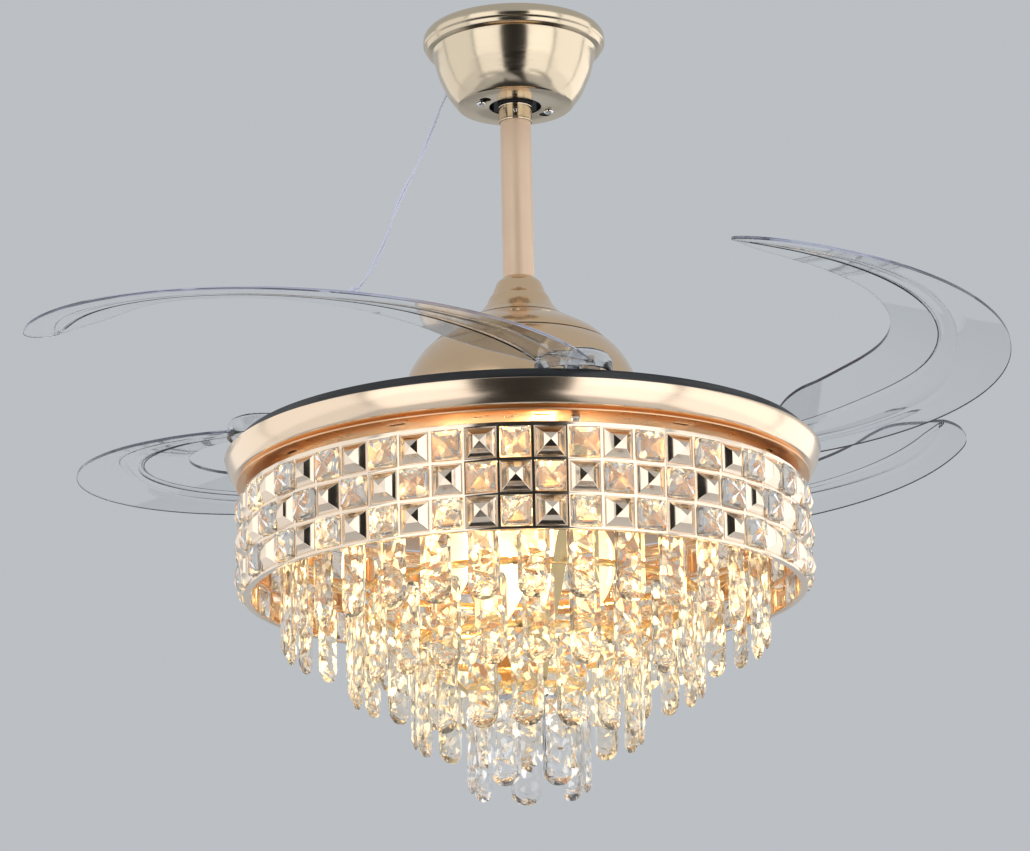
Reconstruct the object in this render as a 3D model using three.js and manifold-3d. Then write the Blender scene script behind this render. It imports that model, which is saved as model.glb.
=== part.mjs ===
import * as THREE from 'three';
import { mergeVertices } from 'three/addons/utils/BufferGeometryUtils.js';
import Module from 'manifold-3d';

// A ceiling fan with four folding clear blades over a crystal chandelier.
// Millimetres, +Z up, origin at the centre of the bracket's ceiling face.

const wasm = await Module();
wasm.setup();

// Clearances shared by every fit
const gap = 0.3;
const runningGap = 1;
const overrun = 2;

// Ceiling bracket
const bracketLength = 110;
const bracketWidth = 44;
const bracketThickness = 2.5;
const bracketSlotInset = 26;
const bracketSlotSpacing = bracketLength - bracketSlotInset;
const bracketSlotLength = 12;
const bracketSlotWidth = 5.2;
const legSpacing = 66;
const legThickness = 2.5;
const legWidth = 24;

// Hanger ball and its socket ring
const ballRadius = 26.5;
const ballDrop = 38;
const ballCutHeight = 18;
const socketTopStep = 8;
const socketBottomStep = 22;
const socketTopDrop = ballDrop + socketTopStep;
const socketBottomDrop = ballDrop + socketBottomStep;
const socketOuterRadius = 35.5;
const socketOpeningRadius = 20;
const socketMouthWidth = 37;
const swingAngle = 8;
const hangerPinRadius = 3;
const hangerPinLength = 46;

// Canopy
const canopyDepth = 66.5;
const canopyFlangeRadius = 78.5;
const canopyFlangeHeight = 17;
const canopySideRadius = 70.5;
const canopyBottomRadius = 49.1;
const canopyHoleRadius = 22.4;
const canopyWall = 1.5;
const keyholeRadius = 31;
const keyholeAngle = 22;
const keyholeSlotRadius = 2.4;
const keyholeHeadRadius = 4.8;
const keyholeTravel = 9;
const canopyScrewShankRadius = 2;
const canopyScrewHeadRadius = 4.2;
const canopyScrewHeadHeight = 2.4;
const canopyScrewLength = 12;
const screwBossRadius = 4.5;
const cordHoleRadius = 2.4;

// Downrod, its collar and the lower pin
const rodRadius = 13.3;
const rodBore = 10.5;
const rodLength = 242.7;
const rodAboveBall = 23;
const collarWall = 0.9;
const collarHeight = 15;
const collarScrewRadius = 1.6;
const collarScrewLength = 2.4;
const collarScrewRise = 7;
const couplingPinRadius = 3;
const couplingPinRise = 8.7;
const rodTopDrop = ballDrop - rodAboveBall;
const rodBottomDrop = rodTopDrop + rodLength;
const couplingPinDrop = rodBottomDrop - couplingPinRise;
const collarTopDrop = canopyDepth - gap;

// Motor shaft
const shaftRadius = 8;
const shaftBore = 4;
const shoulderRadius = 10;
const shaftFlangeRadius = 26;
const shaftFlangeThickness = 4;
const shaftFlangeStep = 2.7;
const yokeRadius = 18.5;
const yokeDepth = 17.7;
const yokeTopDrop = rodBottomDrop - yokeDepth;
const couplingPinLength = 2 * yokeRadius;
const shaftFlangeTopDrop = rodBottomDrop + shaftFlangeStep;
const lampNutRadius = 15;
const lampNutHeight = 5;
const shaftTail = 1.9;

// Coupling cover and vented top cover
const coverHeight = 36.7;
const coverTopRadius = 19.1;
const coverLipRadius = 41;
const coverWall = 1.5;
const hoodHeight = 24;
const hoodRadius = 76;
const hoodTopRadius = 41.5;
const hoodWall = 1.6;
const ventCount = 12;
const ventPhase = -94;
const ventRadius = 52;
const ventLength = 8;
const ventWidth = 4;
const hoodTopDrop = shaftFlangeTopDrop - gap - hoodWall;
const hoodBottomDrop = hoodTopDrop + hoodHeight;
const coverBottomDrop = hoodTopDrop - gap;
const coverTopDrop = coverBottomDrop - coverHeight;

// Rotor shell, motor and bearings
const shellTopStep = 1.5;
const shellSpread = 24.5;
const shellTopRadius = hoodRadius + shellTopStep;
const shellRadius = shellTopRadius + shellSpread;
const shellHeight = 86.5;
const shellWall = 2;
const shellPlateThickness = 2.5;
const shellTopDrop = hoodBottomDrop + runningGap;
const bearingOuterRadius = 16;
const bearingHeight = 8;
const bearingSeatWall = 3.7;
const bearingLipRadius = 12;
const magnetInset = 38.5;
const magnetHeight = 28;
const magnetThickness = 6.5;
const magnetSeatGap = 2.8;
const magnetOuterRadius = shellRadius - shellWall - magnetSeatGap;
const magnetTopDrop = shellTopDrop + magnetInset;
const statorRadius = magnetOuterRadius - magnetThickness - 1.7 * runningGap;
const statorHeight = 26;

// Lamp pan, the broad band that the other discs follow
const panRadius = 250;
const panHeight = 22;
const panLowerInset = 8;
const panFootInset = 16;
const panWall = 1.5;

// Blade disc and the four pivot posts
const discInset = 10;
const discRadius = panRadius - discInset;
const discPlateThickness = 2.5;
const discSkirtHeight = 9;
const discSkirtWall = 3;
const discTopDrop = shellTopDrop + shellHeight;
const bladeCount = 4;
const pivotInset = 22;
const pivotRadius = discRadius - pivotInset;
const pivotAngle = 11;
const postRadius = 5;
const postHeadRadius = 9;
const postHeadHeight = 2.5;
const shoulderTopDrop = discTopDrop + discPlateThickness + bearingHeight + 2 * gap;
const panTopDrop = discTopDrop + discSkirtHeight + runningGap;
const shoulderBottomDrop = panTopDrop + panHeight - panWall - gap;

// Folding blades, drawn in the folded position and turned open
const openAngle = 63;
const bladeThickness = 2.6;
const bladeOuterRadius = discRadius;
const bladeTaperLength = 1.04;
const bladeRootRise = 3.4;
const bladeRiseHeight = 10.15;
const bladeCurlHeight = 2.47;
const bladePitchShare = 0.22;
const bladeTipStartAngle = 150;
const bladeTipEndAngle = 162;
const bladeTipInset = 35;
const bladeTipRadius = bladeOuterRadius - bladeTipInset;
const bladeRootDrop = discTopDrop - bladeRootRise;
const bossRadius = 31;
const bossHeight = 16.7;
const bossRoof = 4;
const bossTopDrop = discTopDrop - gap - bossHeight;
const postTopDrop = bossTopDrop + bossRoof;

// Lamp plate and the posts that carry the drum
const plateTopDrop = panTopDrop + panHeight + gap;
const plateInset = 10;
const plateRadius = panRadius - plateInset;
const plateThickness = 1.5;
const plateSlotCount = 12;
const plateSlotPhase = -86;
const plateSlotInset = 15;
const plateSlotRadius = plateRadius - plateSlotInset;
const plateSlotLength = 14;
const plateSlotWidth = 3.5;
const drumAirGap = 8;
const drumPostCount = 4;
const drumPostPhase = -79;
const drumPostInset = 12.7;
const drumPostRadius = 2.5;
const plateBottomDrop = plateTopDrop + plateThickness;
const shaftBottomDrop = plateBottomDrop + gap + lampNutHeight + shaftTail;

// Drum of crystals and embossed pyramids
const drumInset = 15.3;
const drumRadius = panRadius - drumInset;
const drumWall = 1.5;
const drumColumns = 54;
const drumRows = 3;
const drumPhase = -91.34;
const drumRowPitch = 27.7;
const drumTopMargin = 2.35;
const drumBottomMargin = 0.95;
const drumTopFlangeWidth = 19;
const drumBottomFlangeWidth = 5.7;
const drumFlangeThickness = 1.5;
const drumTopDrop = plateBottomDrop + drumAirGap;
const drumHeight = drumTopMargin + drumRows * drumRowPitch + drumBottomMargin;
const drumBottomDrop = drumTopDrop + drumHeight;
const drumPostPitchRadius = drumRadius - drumPostInset;
const cellGap = 3.79;
const cellSize = 2 * drumRadius * Math.sin(Math.PI / drumColumns) - cellGap;
const pyramidHeight = 8;
const crystalSideHeight = 4.8;
const crystalTipHeight = 9.8;
const crystalStripThickness = 1.2;

// Tiers of hanging crystals and the frame that carries them
const tierCounts = [32, 24, 16, 7];
const tierInsets = [34.7, 89.7, 141.7, 187];
const tierRadii = tierInsets.map((inset) => drumRadius - inset);
const tierTopInset = 47.2;
const tierTopDrop = drumTopDrop + tierTopInset;
const tierStep = 40;
const tierBandHeight = 6;
const tierBandThickness = 1.6;
const tierPhases = [-88, -86, -90, -61.3];
const pendantWidth = 26;
const pendantThickness = 9;
const pendantLength = 80.7;
const pendantLinkWidth = 5;
const pendantLinkHeight = 3;
const pendantShoulderHeight = 11;
const pendantTaperHeight = 11;
const pendantTipWidth = 10;
const strutCount = 4;
const strutPhase = -79;
const strutWidth = 12;
const strutThickness = 1.6;
const strutFootHeight = 10;

// Lampholders and candle bulbs
const lampCount = 4;
const lampPitchRadius = 62;
const lampPhase = -74;
const socketRadius = 13.5;
const socketHeight = 34;
const socketWall = 2;
const socketFlangeRadius = 18;
const socketFlangeHeight = 3;
const bulbRadius = 17.5;
const bulbCapRadius = 7;
const bulbLength = 96;

// Supply cord with two closed-end wire caps
const cordRadius = 1.9;
const cordSides = 8;
const cordSteps = 20;
const wireCapRadius = 2.5;
const wireCapLength = 8;
const wireCapSpread = 5.6;
const cordRoute = [
  [-52.5, 28.2, -32.0], [-55.0, 29.5, -35.2], [-57.9, 31.0, -38.9], [-61.2, 32.3, -44.5],
  [-64.5, 32.8, -52.0], [-68.0, 32.6, -61.5], [-72.5, 31.8, -74.0], [-79.0, 31.0, -92.0],
  [-85.5, 30.5, -106.0], [-92.0, 30.2, -119.0], [-98.0, 30.0, -131.5], [-103.5, 30.0, -144.5],
  [-108.5, 30.0, -158.5], [-113.5, 30.0, -172.5], [-119.0, 30.0, -186.0], [-125.0, 30.0, -198.0],
  [-132.0, 30.0, -209.5], [-139.0, 30.0, -218.0],
];

// Facets round the turned pieces
const largeSegments = 36;
const wideSegments = 24;
const mediumSegments = 18;
const smallSegments = 14;
const tinySegments = 8;
const slotFacets = 1;
const nutSides = 6;

const rad = THREE.MathUtils.degToRad;
const turn = 2 * Math.PI;

// Materials
const finish = (color, roughness, metalness, extra = {}) => () =>
  new THREE.MeshStandardMaterial({ color, roughness, metalness, ...extra });
const steel = finish('#8f9296', 0.35, 1);
const gold = finish('#c9a877', 0.28, 0.9);
const satinGold = finish('#b99a72', 0.4, 0.8);
const roseGold = finish('#c79a7c', 0.35, 0.95);
const copper = finish('#b8714f', 0.35, 0.95);
const black = finish('#15161a', 0.45, 0.1);
const rubber = finish('#1b1b1c', 0.7, 0);
const clear = finish('#e4e8f2', 0.05, 0, { transparent: true, opacity: 0.35 });
const crystal = finish('#f4f5f7', 0.02, 0, { transparent: true, opacity: 0.5 });
const porcelain = finish('#eeeae2', 0.5, 0);
const glow = finish('#ffe9c4', 0.3, 0, { emissive: '#ffca7a' });
const copperWinding = finish('#9c5a34', 0.5, 0.6);
const magnet = finish('#3c3d40', 0.7, 0.3);
const white = finish('#f0f0f2', 0.5, 0);

// Geometry helpers

function signedVolume(position, index) {
  const a = new THREE.Vector3();
  const b = new THREE.Vector3();
  const c = new THREE.Vector3();
  let sum = 0;
  for (let i = 0; i < index.length; i += 3) {
    a.fromArray(position, index[i] * 3);
    b.fromArray(position, index[i + 1] * 3);
    c.fromArray(position, index[i + 2] * 3);
    sum += a.dot(b.cross(c));
  }
  return sum;
}

// Merges shared corners, drops collapsed triangles and turns the faces outward
function closed(geometry) {
  const bare = geometry.clone();
  for (const key of Object.keys(bare.attributes)) {
    if (key !== 'position') bare.deleteAttribute(key);
  }
  const merged = mergeVertices(bare, 1e-4);
  const source = merged.index.array;
  const index = [];
  for (let i = 0; i < source.length; i += 3) {
    const [a, b, c] = [source[i], source[i + 1], source[i + 2]];
    if (a !== b && b !== c && c !== a) index.push(a, b, c);
  }
  if (signedVolume(merged.attributes.position.array, index) < 0) {
    for (let i = 0; i < index.length; i += 3) {
      [index[i], index[i + 1]] = [index[i + 1], index[i]];
    }
  }
  merged.setIndex(index);
  return merged;
}

function meshFrom(points, triangles) {
  const geometry = new THREE.BufferGeometry();
  geometry.setAttribute('position', new THREE.Float32BufferAttribute(points.flat(), 3));
  geometry.setIndex(triangles.flat());
  return closed(geometry);
}

function toSolid(geometry) {
  const mesh = closed(geometry);
  return new wasm.Manifold(new wasm.Mesh({
    numProp: 3,
    vertProperties: Float32Array.from(mesh.attributes.position.array),
    triVerts: Uint32Array.from(mesh.index.array),
  }));
}

function fromSolid(solid) {
  const mesh = solid.getMesh();
  const geometry = new THREE.BufferGeometry();
  geometry.setAttribute('position', new THREE.BufferAttribute(mesh.vertProperties, 3));
  geometry.setIndex(new THREE.BufferAttribute(mesh.triVerts, 1));
  return geometry;
}

const unite = (shapes) => shapes.map(toSolid).reduce((all, next) => all.add(next));
const cut = (solid, tools) => tools.map(toSolid).reduce((left, tool) => left.subtract(tool), solid);

// Turns a profile of [radius, height] points round the Z axis
function turned(profile, segments, start = 0) {
  const points = [...profile, profile[0]].map(([r, z]) => new THREE.Vector2(r, z));
  return closed(new THREE.LatheGeometry(points, segments, start).rotateX(turn / 4));
}

// Radius of a faceted hole that keeps the clearance round a turned piece at every angle
const holeRadius = (radius, segments) => (radius + gap) / Math.cos(Math.PI / segments);

// A ring between two radii and two heights
const ring = (inner, outer, low, high, segments, start = 0) =>
  turned([[inner, low], [outer, low], [outer, high], [inner, high]], segments, start);

// An upright cylinder from one height to another
const upright = (radius, low, high, segments) =>
  new THREE.CylinderGeometry(radius, radius, high - low, segments)
    .rotateX(turn / 4)
    .translate(0, 0, (low + high) / 2);

const block = (x0, x1, y0, y1, z0, z1) =>
  new THREE.BoxGeometry(x1 - x0, y1 - y0, z1 - z0)
    .translate((x0 + x1) / 2, (y0 + y1) / 2, (z0 + z1) / 2);

const crossPin = (radius, length, drop, segments) =>
  new THREE.CylinderGeometry(radius, radius, length, segments)
    .rotateZ(turn / 4)
    .translate(0, 0, -drop);

// An upright slot with round ends, long along X
function slot(length, width, low, high) {
  const shape = new THREE.Shape();
  const half = (length - width) / 2;
  shape.absarc(half, 0, width / 2, -turn / 4, turn / 4, false);
  shape.absarc(-half, 0, width / 2, turn / 4, turn * 3 / 4, false);
  const settings = { depth: high - low, bevelEnabled: false, curveSegments: slotFacets };
  return new THREE.ExtrudeGeometry(shape, settings).translate(0, 0, low);
}

const polar = (radius, degrees) => [
  radius * Math.cos(rad(degrees)),
  radius * Math.sin(rad(degrees)),
];

function placed(geometry, radius, degrees) {
  const [x, y] = polar(radius, degrees);
  return geometry.rotateZ(rad(degrees)).translate(x, y, 0);
}

// The scene: every piece is a named mesh in one group
const fan = new THREE.Group();

function piece(name, geometry, material, parent = fan) {
  const shown = geometry.clone();
  shown.computeVertexNormals();
  const mesh = new THREE.Mesh(shown, material());
  mesh.name = name;
  parent.add(mesh);
  return mesh;
}

// Ceiling bracket: plate, two legs, the socket ring that the ball sits in, two screw bosses
function ceilingBracket() {
  const seatSteps = 3;
  const seatRadius = holeRadius(ballRadius, mediumSegments) + gap;
  const seat = [];
  const seatAngle = (drop) => Math.asin((drop - ballDrop) / seatRadius);
  const openingDrop = ballDrop + Math.sqrt(seatRadius ** 2 - socketOpeningRadius ** 2);
  const [from, to] = [seatAngle(socketTopDrop), seatAngle(openingDrop)];
  for (let i = 0; i <= seatSteps; i += 1) {
    const angle = from + (to - from) * i / seatSteps;
    seat.push([seatRadius * Math.cos(angle), -ballDrop - seatRadius * Math.sin(angle)]);
  }
  const socket = turned([
    [socketOuterRadius, -socketTopDrop],
    ...seat,
    [socketOpeningRadius, -socketBottomDrop],
    [socketOuterRadius, -socketBottomDrop],
  ], mediumSegments);
  const leg = (side) => {
    const near = side * legSpacing / 2;
    const far = near + side * legThickness;
    return block(Math.min(near, far), Math.max(near, far), -legWidth / 2, legWidth / 2,
      -(socketTopDrop + socketBottomDrop) / 2, -bracketThickness / 2);
  };
  const bossBottom = -(canopyDepth - canopyWall - gap);
  const bossTop = -(socketTopDrop + socketBottomDrop) / 2;
  const angles = [keyholeAngle, keyholeAngle + 180];
  const bosses = angles.map((a) =>
    placed(upright(screwBossRadius, bossBottom, bossTop, tinySegments), keyholeRadius, a));
  const plate = block(-bracketLength / 2, bracketLength / 2,
    -bracketWidth / 2, bracketWidth / 2, -bracketThickness, 0);
  const body = unite([plate, leg(1), leg(-1), socket, ...bosses]);

  const slots = [1, -1].map((side) =>
    slot(bracketSlotLength, bracketSlotWidth, -bracketThickness - overrun, overrun)
      .translate(side * bracketSlotSpacing / 2, 0, 0));
  const mouth = socketMouthWidth / 2;
  const entry = block(-mouth, mouth, 0, socketOuterRadius + overrun,
    -socketBottomDrop - overrun, -socketTopDrop + overrun);
  const screwHoles = angles.map((a) =>
    placed(upright(holeRadius(canopyScrewShankRadius, tinySegments), bossBottom - overrun,
      -canopyDepth + canopyScrewLength + gap, tinySegments), keyholeRadius, a));
  return fromSolid(cut(body, [...slots, entry, ...screwHoles]));
}

// Hanger ball: a sphere cut flat above and below, bored wide so the rod can swing on its pin
function hangerBall() {
  const steps = 6;
  const outer = [];
  const limit = Math.asin(ballCutHeight / ballRadius);
  for (let i = 0; i <= steps; i += 1) {
    const angle = -limit + 2 * limit * i / steps;
    outer.push([ballRadius * Math.cos(angle), ballRadius * Math.sin(angle) - ballDrop]);
  }
  const waist = holeRadius(rodRadius, mediumSegments);
  const mouth = waist / Math.cos(rad(swingAngle)) + ballCutHeight * Math.tan(rad(swingAngle)) + gap;
  const body = turned([
    ...outer,
    [mouth, ballCutHeight - ballDrop],
    [waist, -ballDrop],
    [mouth, -ballCutHeight - ballDrop],
  ], mediumSegments);
  const bore = crossPin(holeRadius(hangerPinRadius, tinySegments), 2 * ballRadius + overrun,
    ballDrop, tinySegments);
  return fromSolid(cut(toSolid(body), [bore]));
}

// Canopy: a spun cup with a wide beaded flange, keyholes below and one cord hole behind
const canopySideShares = [[1, 0], [0.92, 0.166], [0.766, 0.424], [0.4, 0.775], [0, 1]];

function canopySide(inset) {
  const top = -canopyFlangeHeight - inset;
  const bottom = -canopyDepth + inset;
  return canopySideShares.map(([out, down]) => [
    canopyBottomRadius - inset + (canopySideRadius - canopyBottomRadius) * out,
    top + (bottom - top) * down,
  ]);
}

function canopy() {
  const wall = canopyWall;
  const flange = canopyFlangeRadius;
  const lip = flange - 2 * wall;
  const outside = [
    [lip, 0],
    [flange, -canopyFlangeHeight * 0.35],
    [flange, -canopyFlangeHeight * 0.6],
    [flange - wall, -canopyFlangeHeight * 0.7],
    [flange - wall, -canopyFlangeHeight * 0.92],
    ...canopySide(0),
  ];
  const inside = [
    [lip - wall, 0],
    [flange - wall, -canopyFlangeHeight * 0.35],
    ...canopySide(wall).map(([r, z]) => [r - wall / 2, z]),
  ];
  const body = turned([
    ...outside,
    [canopyHoleRadius, -canopyDepth],
    [canopyHoleRadius, -canopyDepth + wall],
    ...inside.reverse(),
  ], wideSegments);
  const low = -canopyDepth - overrun;
  const high = -canopyDepth + wall + overrun;
  const keyhole = (angle) => {
    const round = new THREE.CylinderGeometry(keyholeHeadRadius, keyholeHeadRadius,
      high - low, tinySegments).rotateX(turn / 4)
      .translate(0, keyholeTravel, (low + high) / 2);
    const narrow = new THREE.CylinderGeometry(keyholeSlotRadius, keyholeSlotRadius,
      high - low, tinySegments).rotateX(turn / 4).translate(0, 0, (low + high) / 2);
    const bridge = block(-keyholeSlotRadius, keyholeSlotRadius, 0, keyholeTravel, low, high);
    return [round, narrow, bridge].map((tool) => placed(tool, keyholeRadius, angle));
  };
  const [start, , exit] = cordRoute.map((point) => new THREE.Vector3(...point));
  const along = exit.clone().sub(start);
  const cordHole = new THREE.CylinderGeometry(cordHoleRadius, cordHoleRadius,
    along.length() * 2, tinySegments);
  cordHole.applyQuaternion(new THREE.Quaternion().setFromUnitVectors(
    new THREE.Vector3(0, 1, 0), along.clone().normalize()));
  cordHole.translate(...exit.toArray());
  const tools = [...keyhole(keyholeAngle), ...keyhole(keyholeAngle + 180), cordHole];
  return fromSolid(cut(toSolid(body), tools));
}

function canopyScrew(angle) {
  const headTop = -canopyDepth - gap;
  const head = upright(canopyScrewHeadRadius, headTop - canopyScrewHeadHeight, headTop,
    tinySegments);
  const shank = upright(canopyScrewShankRadius, headTop - canopyScrewHeadHeight / 2,
    -canopyDepth + canopyScrewLength, tinySegments);
  return placed(fromSolid(unite([head, shank])), keyholeRadius, angle);
}

// Downrod with a cross hole for each pin
function downrod() {
  const body = toSolid(ring(rodBore, rodRadius, -rodBottomDrop, -rodTopDrop, smallSegments));
  return fromSolid(cut(body, [
    crossPin(holeRadius(hangerPinRadius, tinySegments), 2 * rodRadius + overrun,
      ballDrop, tinySegments),
    crossPin(holeRadius(couplingPinRadius, tinySegments), 2 * rodRadius + overrun,
      couplingPinDrop, tinySegments),
  ]));
}

function rodCollar() {
  const inner = holeRadius(rodRadius, smallSegments);
  const outer = inner + collarWall;
  const low = -collarTopDrop - collarHeight;
  const body = toSolid(ring(inner, outer, low, -collarTopDrop, smallSegments));
  const bore = holeRadius(collarScrewRadius, tinySegments);
  const hole = new THREE.CylinderGeometry(bore, bore, outer, tinySegments)
    .translate(0, -outer, low + collarScrewRise);
  return fromSolid(cut(body, [hole]));
}

const collarScrew = () =>
  new THREE.CylinderGeometry(collarScrewRadius, collarScrewRadius, collarScrewLength, tinySegments)
    .translate(0, -rodRadius - gap - collarScrewLength / 2,
      -collarTopDrop - collarHeight + collarScrewRise);

// Coupling cover: the bell that hides the yoke and the lower pin
const bellShares = [[0, 0.12], [0.18, 0.4], [0.3, 0.49], [0.42, 0.67], [0.75, 0.9], [1, 1]];

function couplingCover() {
  const height = coverBottomDrop - coverTopDrop;
  const spread = coverLipRadius - coverTopRadius;
  const side = bellShares.map(([out, down]) => [
    coverTopRadius + spread * out,
    -coverTopDrop - height * down,
  ]);
  const inner = holeRadius(rodRadius, smallSegments);
  const inside = side.slice(1).map(([r, z]) => [r - coverWall, z]);
  return turned([
    [inner, -coverTopDrop],
    [inner + coverWall, -coverTopDrop],
    ...side,
    ...inside.reverse(),
    [coverTopRadius - coverWall, -coverTopDrop - height * 0.12 - coverWall],
    [inner, -coverTopDrop - 2 * coverWall],
  ], mediumSegments);
}

// Top cover: a vented hood fixed to the shaft, over the turning shell
const hoodShares = [[0, 0], [0.55, 0.43], [0.79, 0.68], [1, 1]];

function topCover() {
  const height = hoodBottomDrop - hoodTopDrop;
  const spread = hoodRadius - hoodTopRadius;
  const side = hoodShares.map(([out, down]) => [
    hoodTopRadius + spread * out,
    -hoodTopDrop - height * down,
  ]);
  const inside = side.map(([r, z]) => [r - hoodWall, z - hoodWall / 2]);
  inside[inside.length - 1][1] = -hoodBottomDrop;
  inside[0][1] = -hoodTopDrop - hoodWall;
  const bore = holeRadius(yokeRadius, smallSegments);
  const body = toSolid(turned([
    [bore, -hoodTopDrop],
    ...side,
    ...inside.reverse(),
    [bore, -hoodTopDrop - hoodWall],
  ], wideSegments));
  const vents = [];
  for (let i = 0; i < ventCount; i += 1) {
    const tool = slot(ventLength, ventWidth, -hoodBottomDrop, -hoodTopDrop + overrun);
    vents.push(placed(tool.rotateZ(turn / 4), ventRadius, ventPhase + i * 360 / ventCount));
  }
  return fromSolid(cut(body, vents));
}

// Motor shaft: yoke for the rod, flange for the hood, journals and a shoulder for the bearings
function motorShaft() {
  const flangeBottom = -shaftFlangeTopDrop - shaftFlangeThickness;
  const socket = holeRadius(rodRadius, smallSegments);
  const body = toSolid(turned([
    [shaftBore, -shaftBottomDrop],
    [shaftRadius, -shaftBottomDrop],
    [shaftRadius, -shoulderBottomDrop],
    [shoulderRadius, -shoulderBottomDrop],
    [shoulderRadius, -shoulderTopDrop],
    [shaftRadius, -shoulderTopDrop],
    [shaftRadius, flangeBottom],
    [shaftFlangeRadius, flangeBottom],
    [shaftFlangeRadius, -shaftFlangeTopDrop],
    [yokeRadius, -shaftFlangeTopDrop],
    [yokeRadius, -yokeTopDrop],
    [socket, -yokeTopDrop],
    [socket, -rodBottomDrop - gap],
    [shaftBore, -rodBottomDrop - gap],
  ], smallSegments));
  const pinHole = crossPin(holeRadius(couplingPinRadius, tinySegments),
    2 * yokeRadius + overrun, couplingPinDrop, tinySegments);
  return fromSolid(cut(body, [pinHole]));
}

// Rotor shell: the turning dome with the upper bearing seat inside
const shellShares = [[0, 0], [0.27, 0.075], [0.66, 0.237], [0.92, 0.45], [1, 1]];

function rotorShell() {
  const bottom = -discTopDrop + gap;
  const height = -shellTopDrop - bottom;
  const spread = shellRadius - shellTopRadius;
  const side = shellShares.map(([out, down]) => [
    shellTopRadius + spread * out,
    -shellTopDrop - height * down,
  ]);
  const inside = side.slice(1).map(([r, z]) => [r - shellWall, z]);
  const seatInner = holeRadius(bearingOuterRadius, smallSegments);
  const seatOuter = seatInner + bearingSeatWall;
  const plateBottom = -shellTopDrop - shellPlateThickness;
  const lipBottom = plateBottom - gap;
  const seatBottom = lipBottom - gap - bearingHeight;
  return turned([
    ...side,
    ...inside.reverse(),
    [shellTopRadius - shellWall, plateBottom],
    [seatOuter, plateBottom],
    [seatOuter, seatBottom],
    [seatInner, seatBottom],
    [seatInner, lipBottom],
    [bearingLipRadius, lipBottom],
    [bearingLipRadius, -shellTopDrop],
  ], wideSegments);
}

function bearing(top) {
  return ring(holeRadius(shaftRadius, smallSegments), bearingOuterRadius,
    top - bearingHeight, top, smallSegments);
}

// Stator: laminated core with the rounded winding above and below it
function stator() {
  const middle = -magnetTopDrop - magnetHeight / 2;
  const core = statorHeight / 4;
  const half = statorHeight / 2;
  const inner = holeRadius(shaftRadius, smallSegments);
  const band = statorRadius - inner;
  const outline = [
    [0, -core], [0.35, -core], [0.45, -half], [0.85, -half],
    [1, -core], [1, core], [0.85, half], [0.45, half], [0.35, core], [0, core],
  ];
  return turned(outline.map(([share, z]) => [inner + band * share, middle + z]), smallSegments);
}

const magnetRing = () => ring(magnetOuterRadius - magnetThickness, magnetOuterRadius,
  -magnetTopDrop - magnetHeight, -magnetTopDrop, wideSegments);

// Blade disc: a black plate with a skirt, the lower bearing seat and four pivot holes
function bladeDisc() {
  const top = -discTopDrop;
  const under = top - discPlateThickness;
  const seatInner = holeRadius(bearingOuterRadius, smallSegments);
  const seatOuter = seatInner + bearingSeatWall;
  const seatBottom = -shoulderTopDrop + gap;
  const body = toSolid(turned([
    [bearingLipRadius, top],
    [discRadius, top],
    [discRadius, top - discSkirtHeight],
    [discRadius - discSkirtWall, top - discSkirtHeight],
    [discRadius - discSkirtWall, under],
    [seatOuter, under],
    [seatOuter, seatBottom],
    [seatInner, seatBottom],
    [seatInner, under],
    [bearingLipRadius, under],
  ], largeSegments));
  const holes = [];
  for (let k = 0; k < bladeCount; k += 1) {
    const hole = upright(holeRadius(postRadius, tinySegments), under - overrun, top + overrun,
      tinySegments);
    holes.push(placed(hole, pivotRadius, bladeAngle(k)));
  }
  return fromSolid(cut(body, holes));
}

const bladeAngle = (k) => pivotAngle - k * 360 / bladeCount;

function pivotPost() {
  const headTop = -discTopDrop - discPlateThickness - gap;
  const head = headTop - postHeadHeight;
  return turned([
    [0, head],
    [postHeadRadius, head],
    [postHeadRadius, headTop],
    [postRadius, headTop],
    [postRadius, -postTopDrop],
    [0, -postTopDrop],
  ], tinySegments);
}

// Blade outline when folded: inner edge by angle from the pivot, in shares of the outer radius
const bladeInnerShares = [
  [0, 0.79], [8, 0.64], [17, 0.57], [28, 0.552], [40, 0.546], [52, 0.556], [65, 0.575],
  [78, 0.592], [91, 0.606], [104, 0.617], [117, 0.626], [130, 0.633], [142, 0.641],
  [150, 0.667], [155, 0.71], [159, 0.78],
];

function bladeEdges(degrees, innerShare) {
  const angle = rad(degrees);
  const tipReach = bladeTipEndAngle - bladeTipStartAngle;
  const outer = bladeOuterRadius - bladeTaperLength * angle * angle;
  const past = Math.max(0, degrees - bladeTipStartAngle) / tipReach;
  const rounded = bladeTipRadius + (outer - bladeTipRadius) * Math.sqrt(1 - past * past);
  return [bladeOuterRadius * innerShare, rounded];
}

// A point of the blade's middle surface, from the fan's axis with the pivot on +X
function bladePoint(degrees, radius) {
  const angle = rad(degrees);
  const height = -bladeRootDrop + bladeRiseHeight * angle + bladeCurlHeight * angle * angle
    + bladePitchShare * (bladeOuterRadius - radius);
  return [radius * Math.cos(-angle), radius * Math.sin(-angle), height];
}

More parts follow.
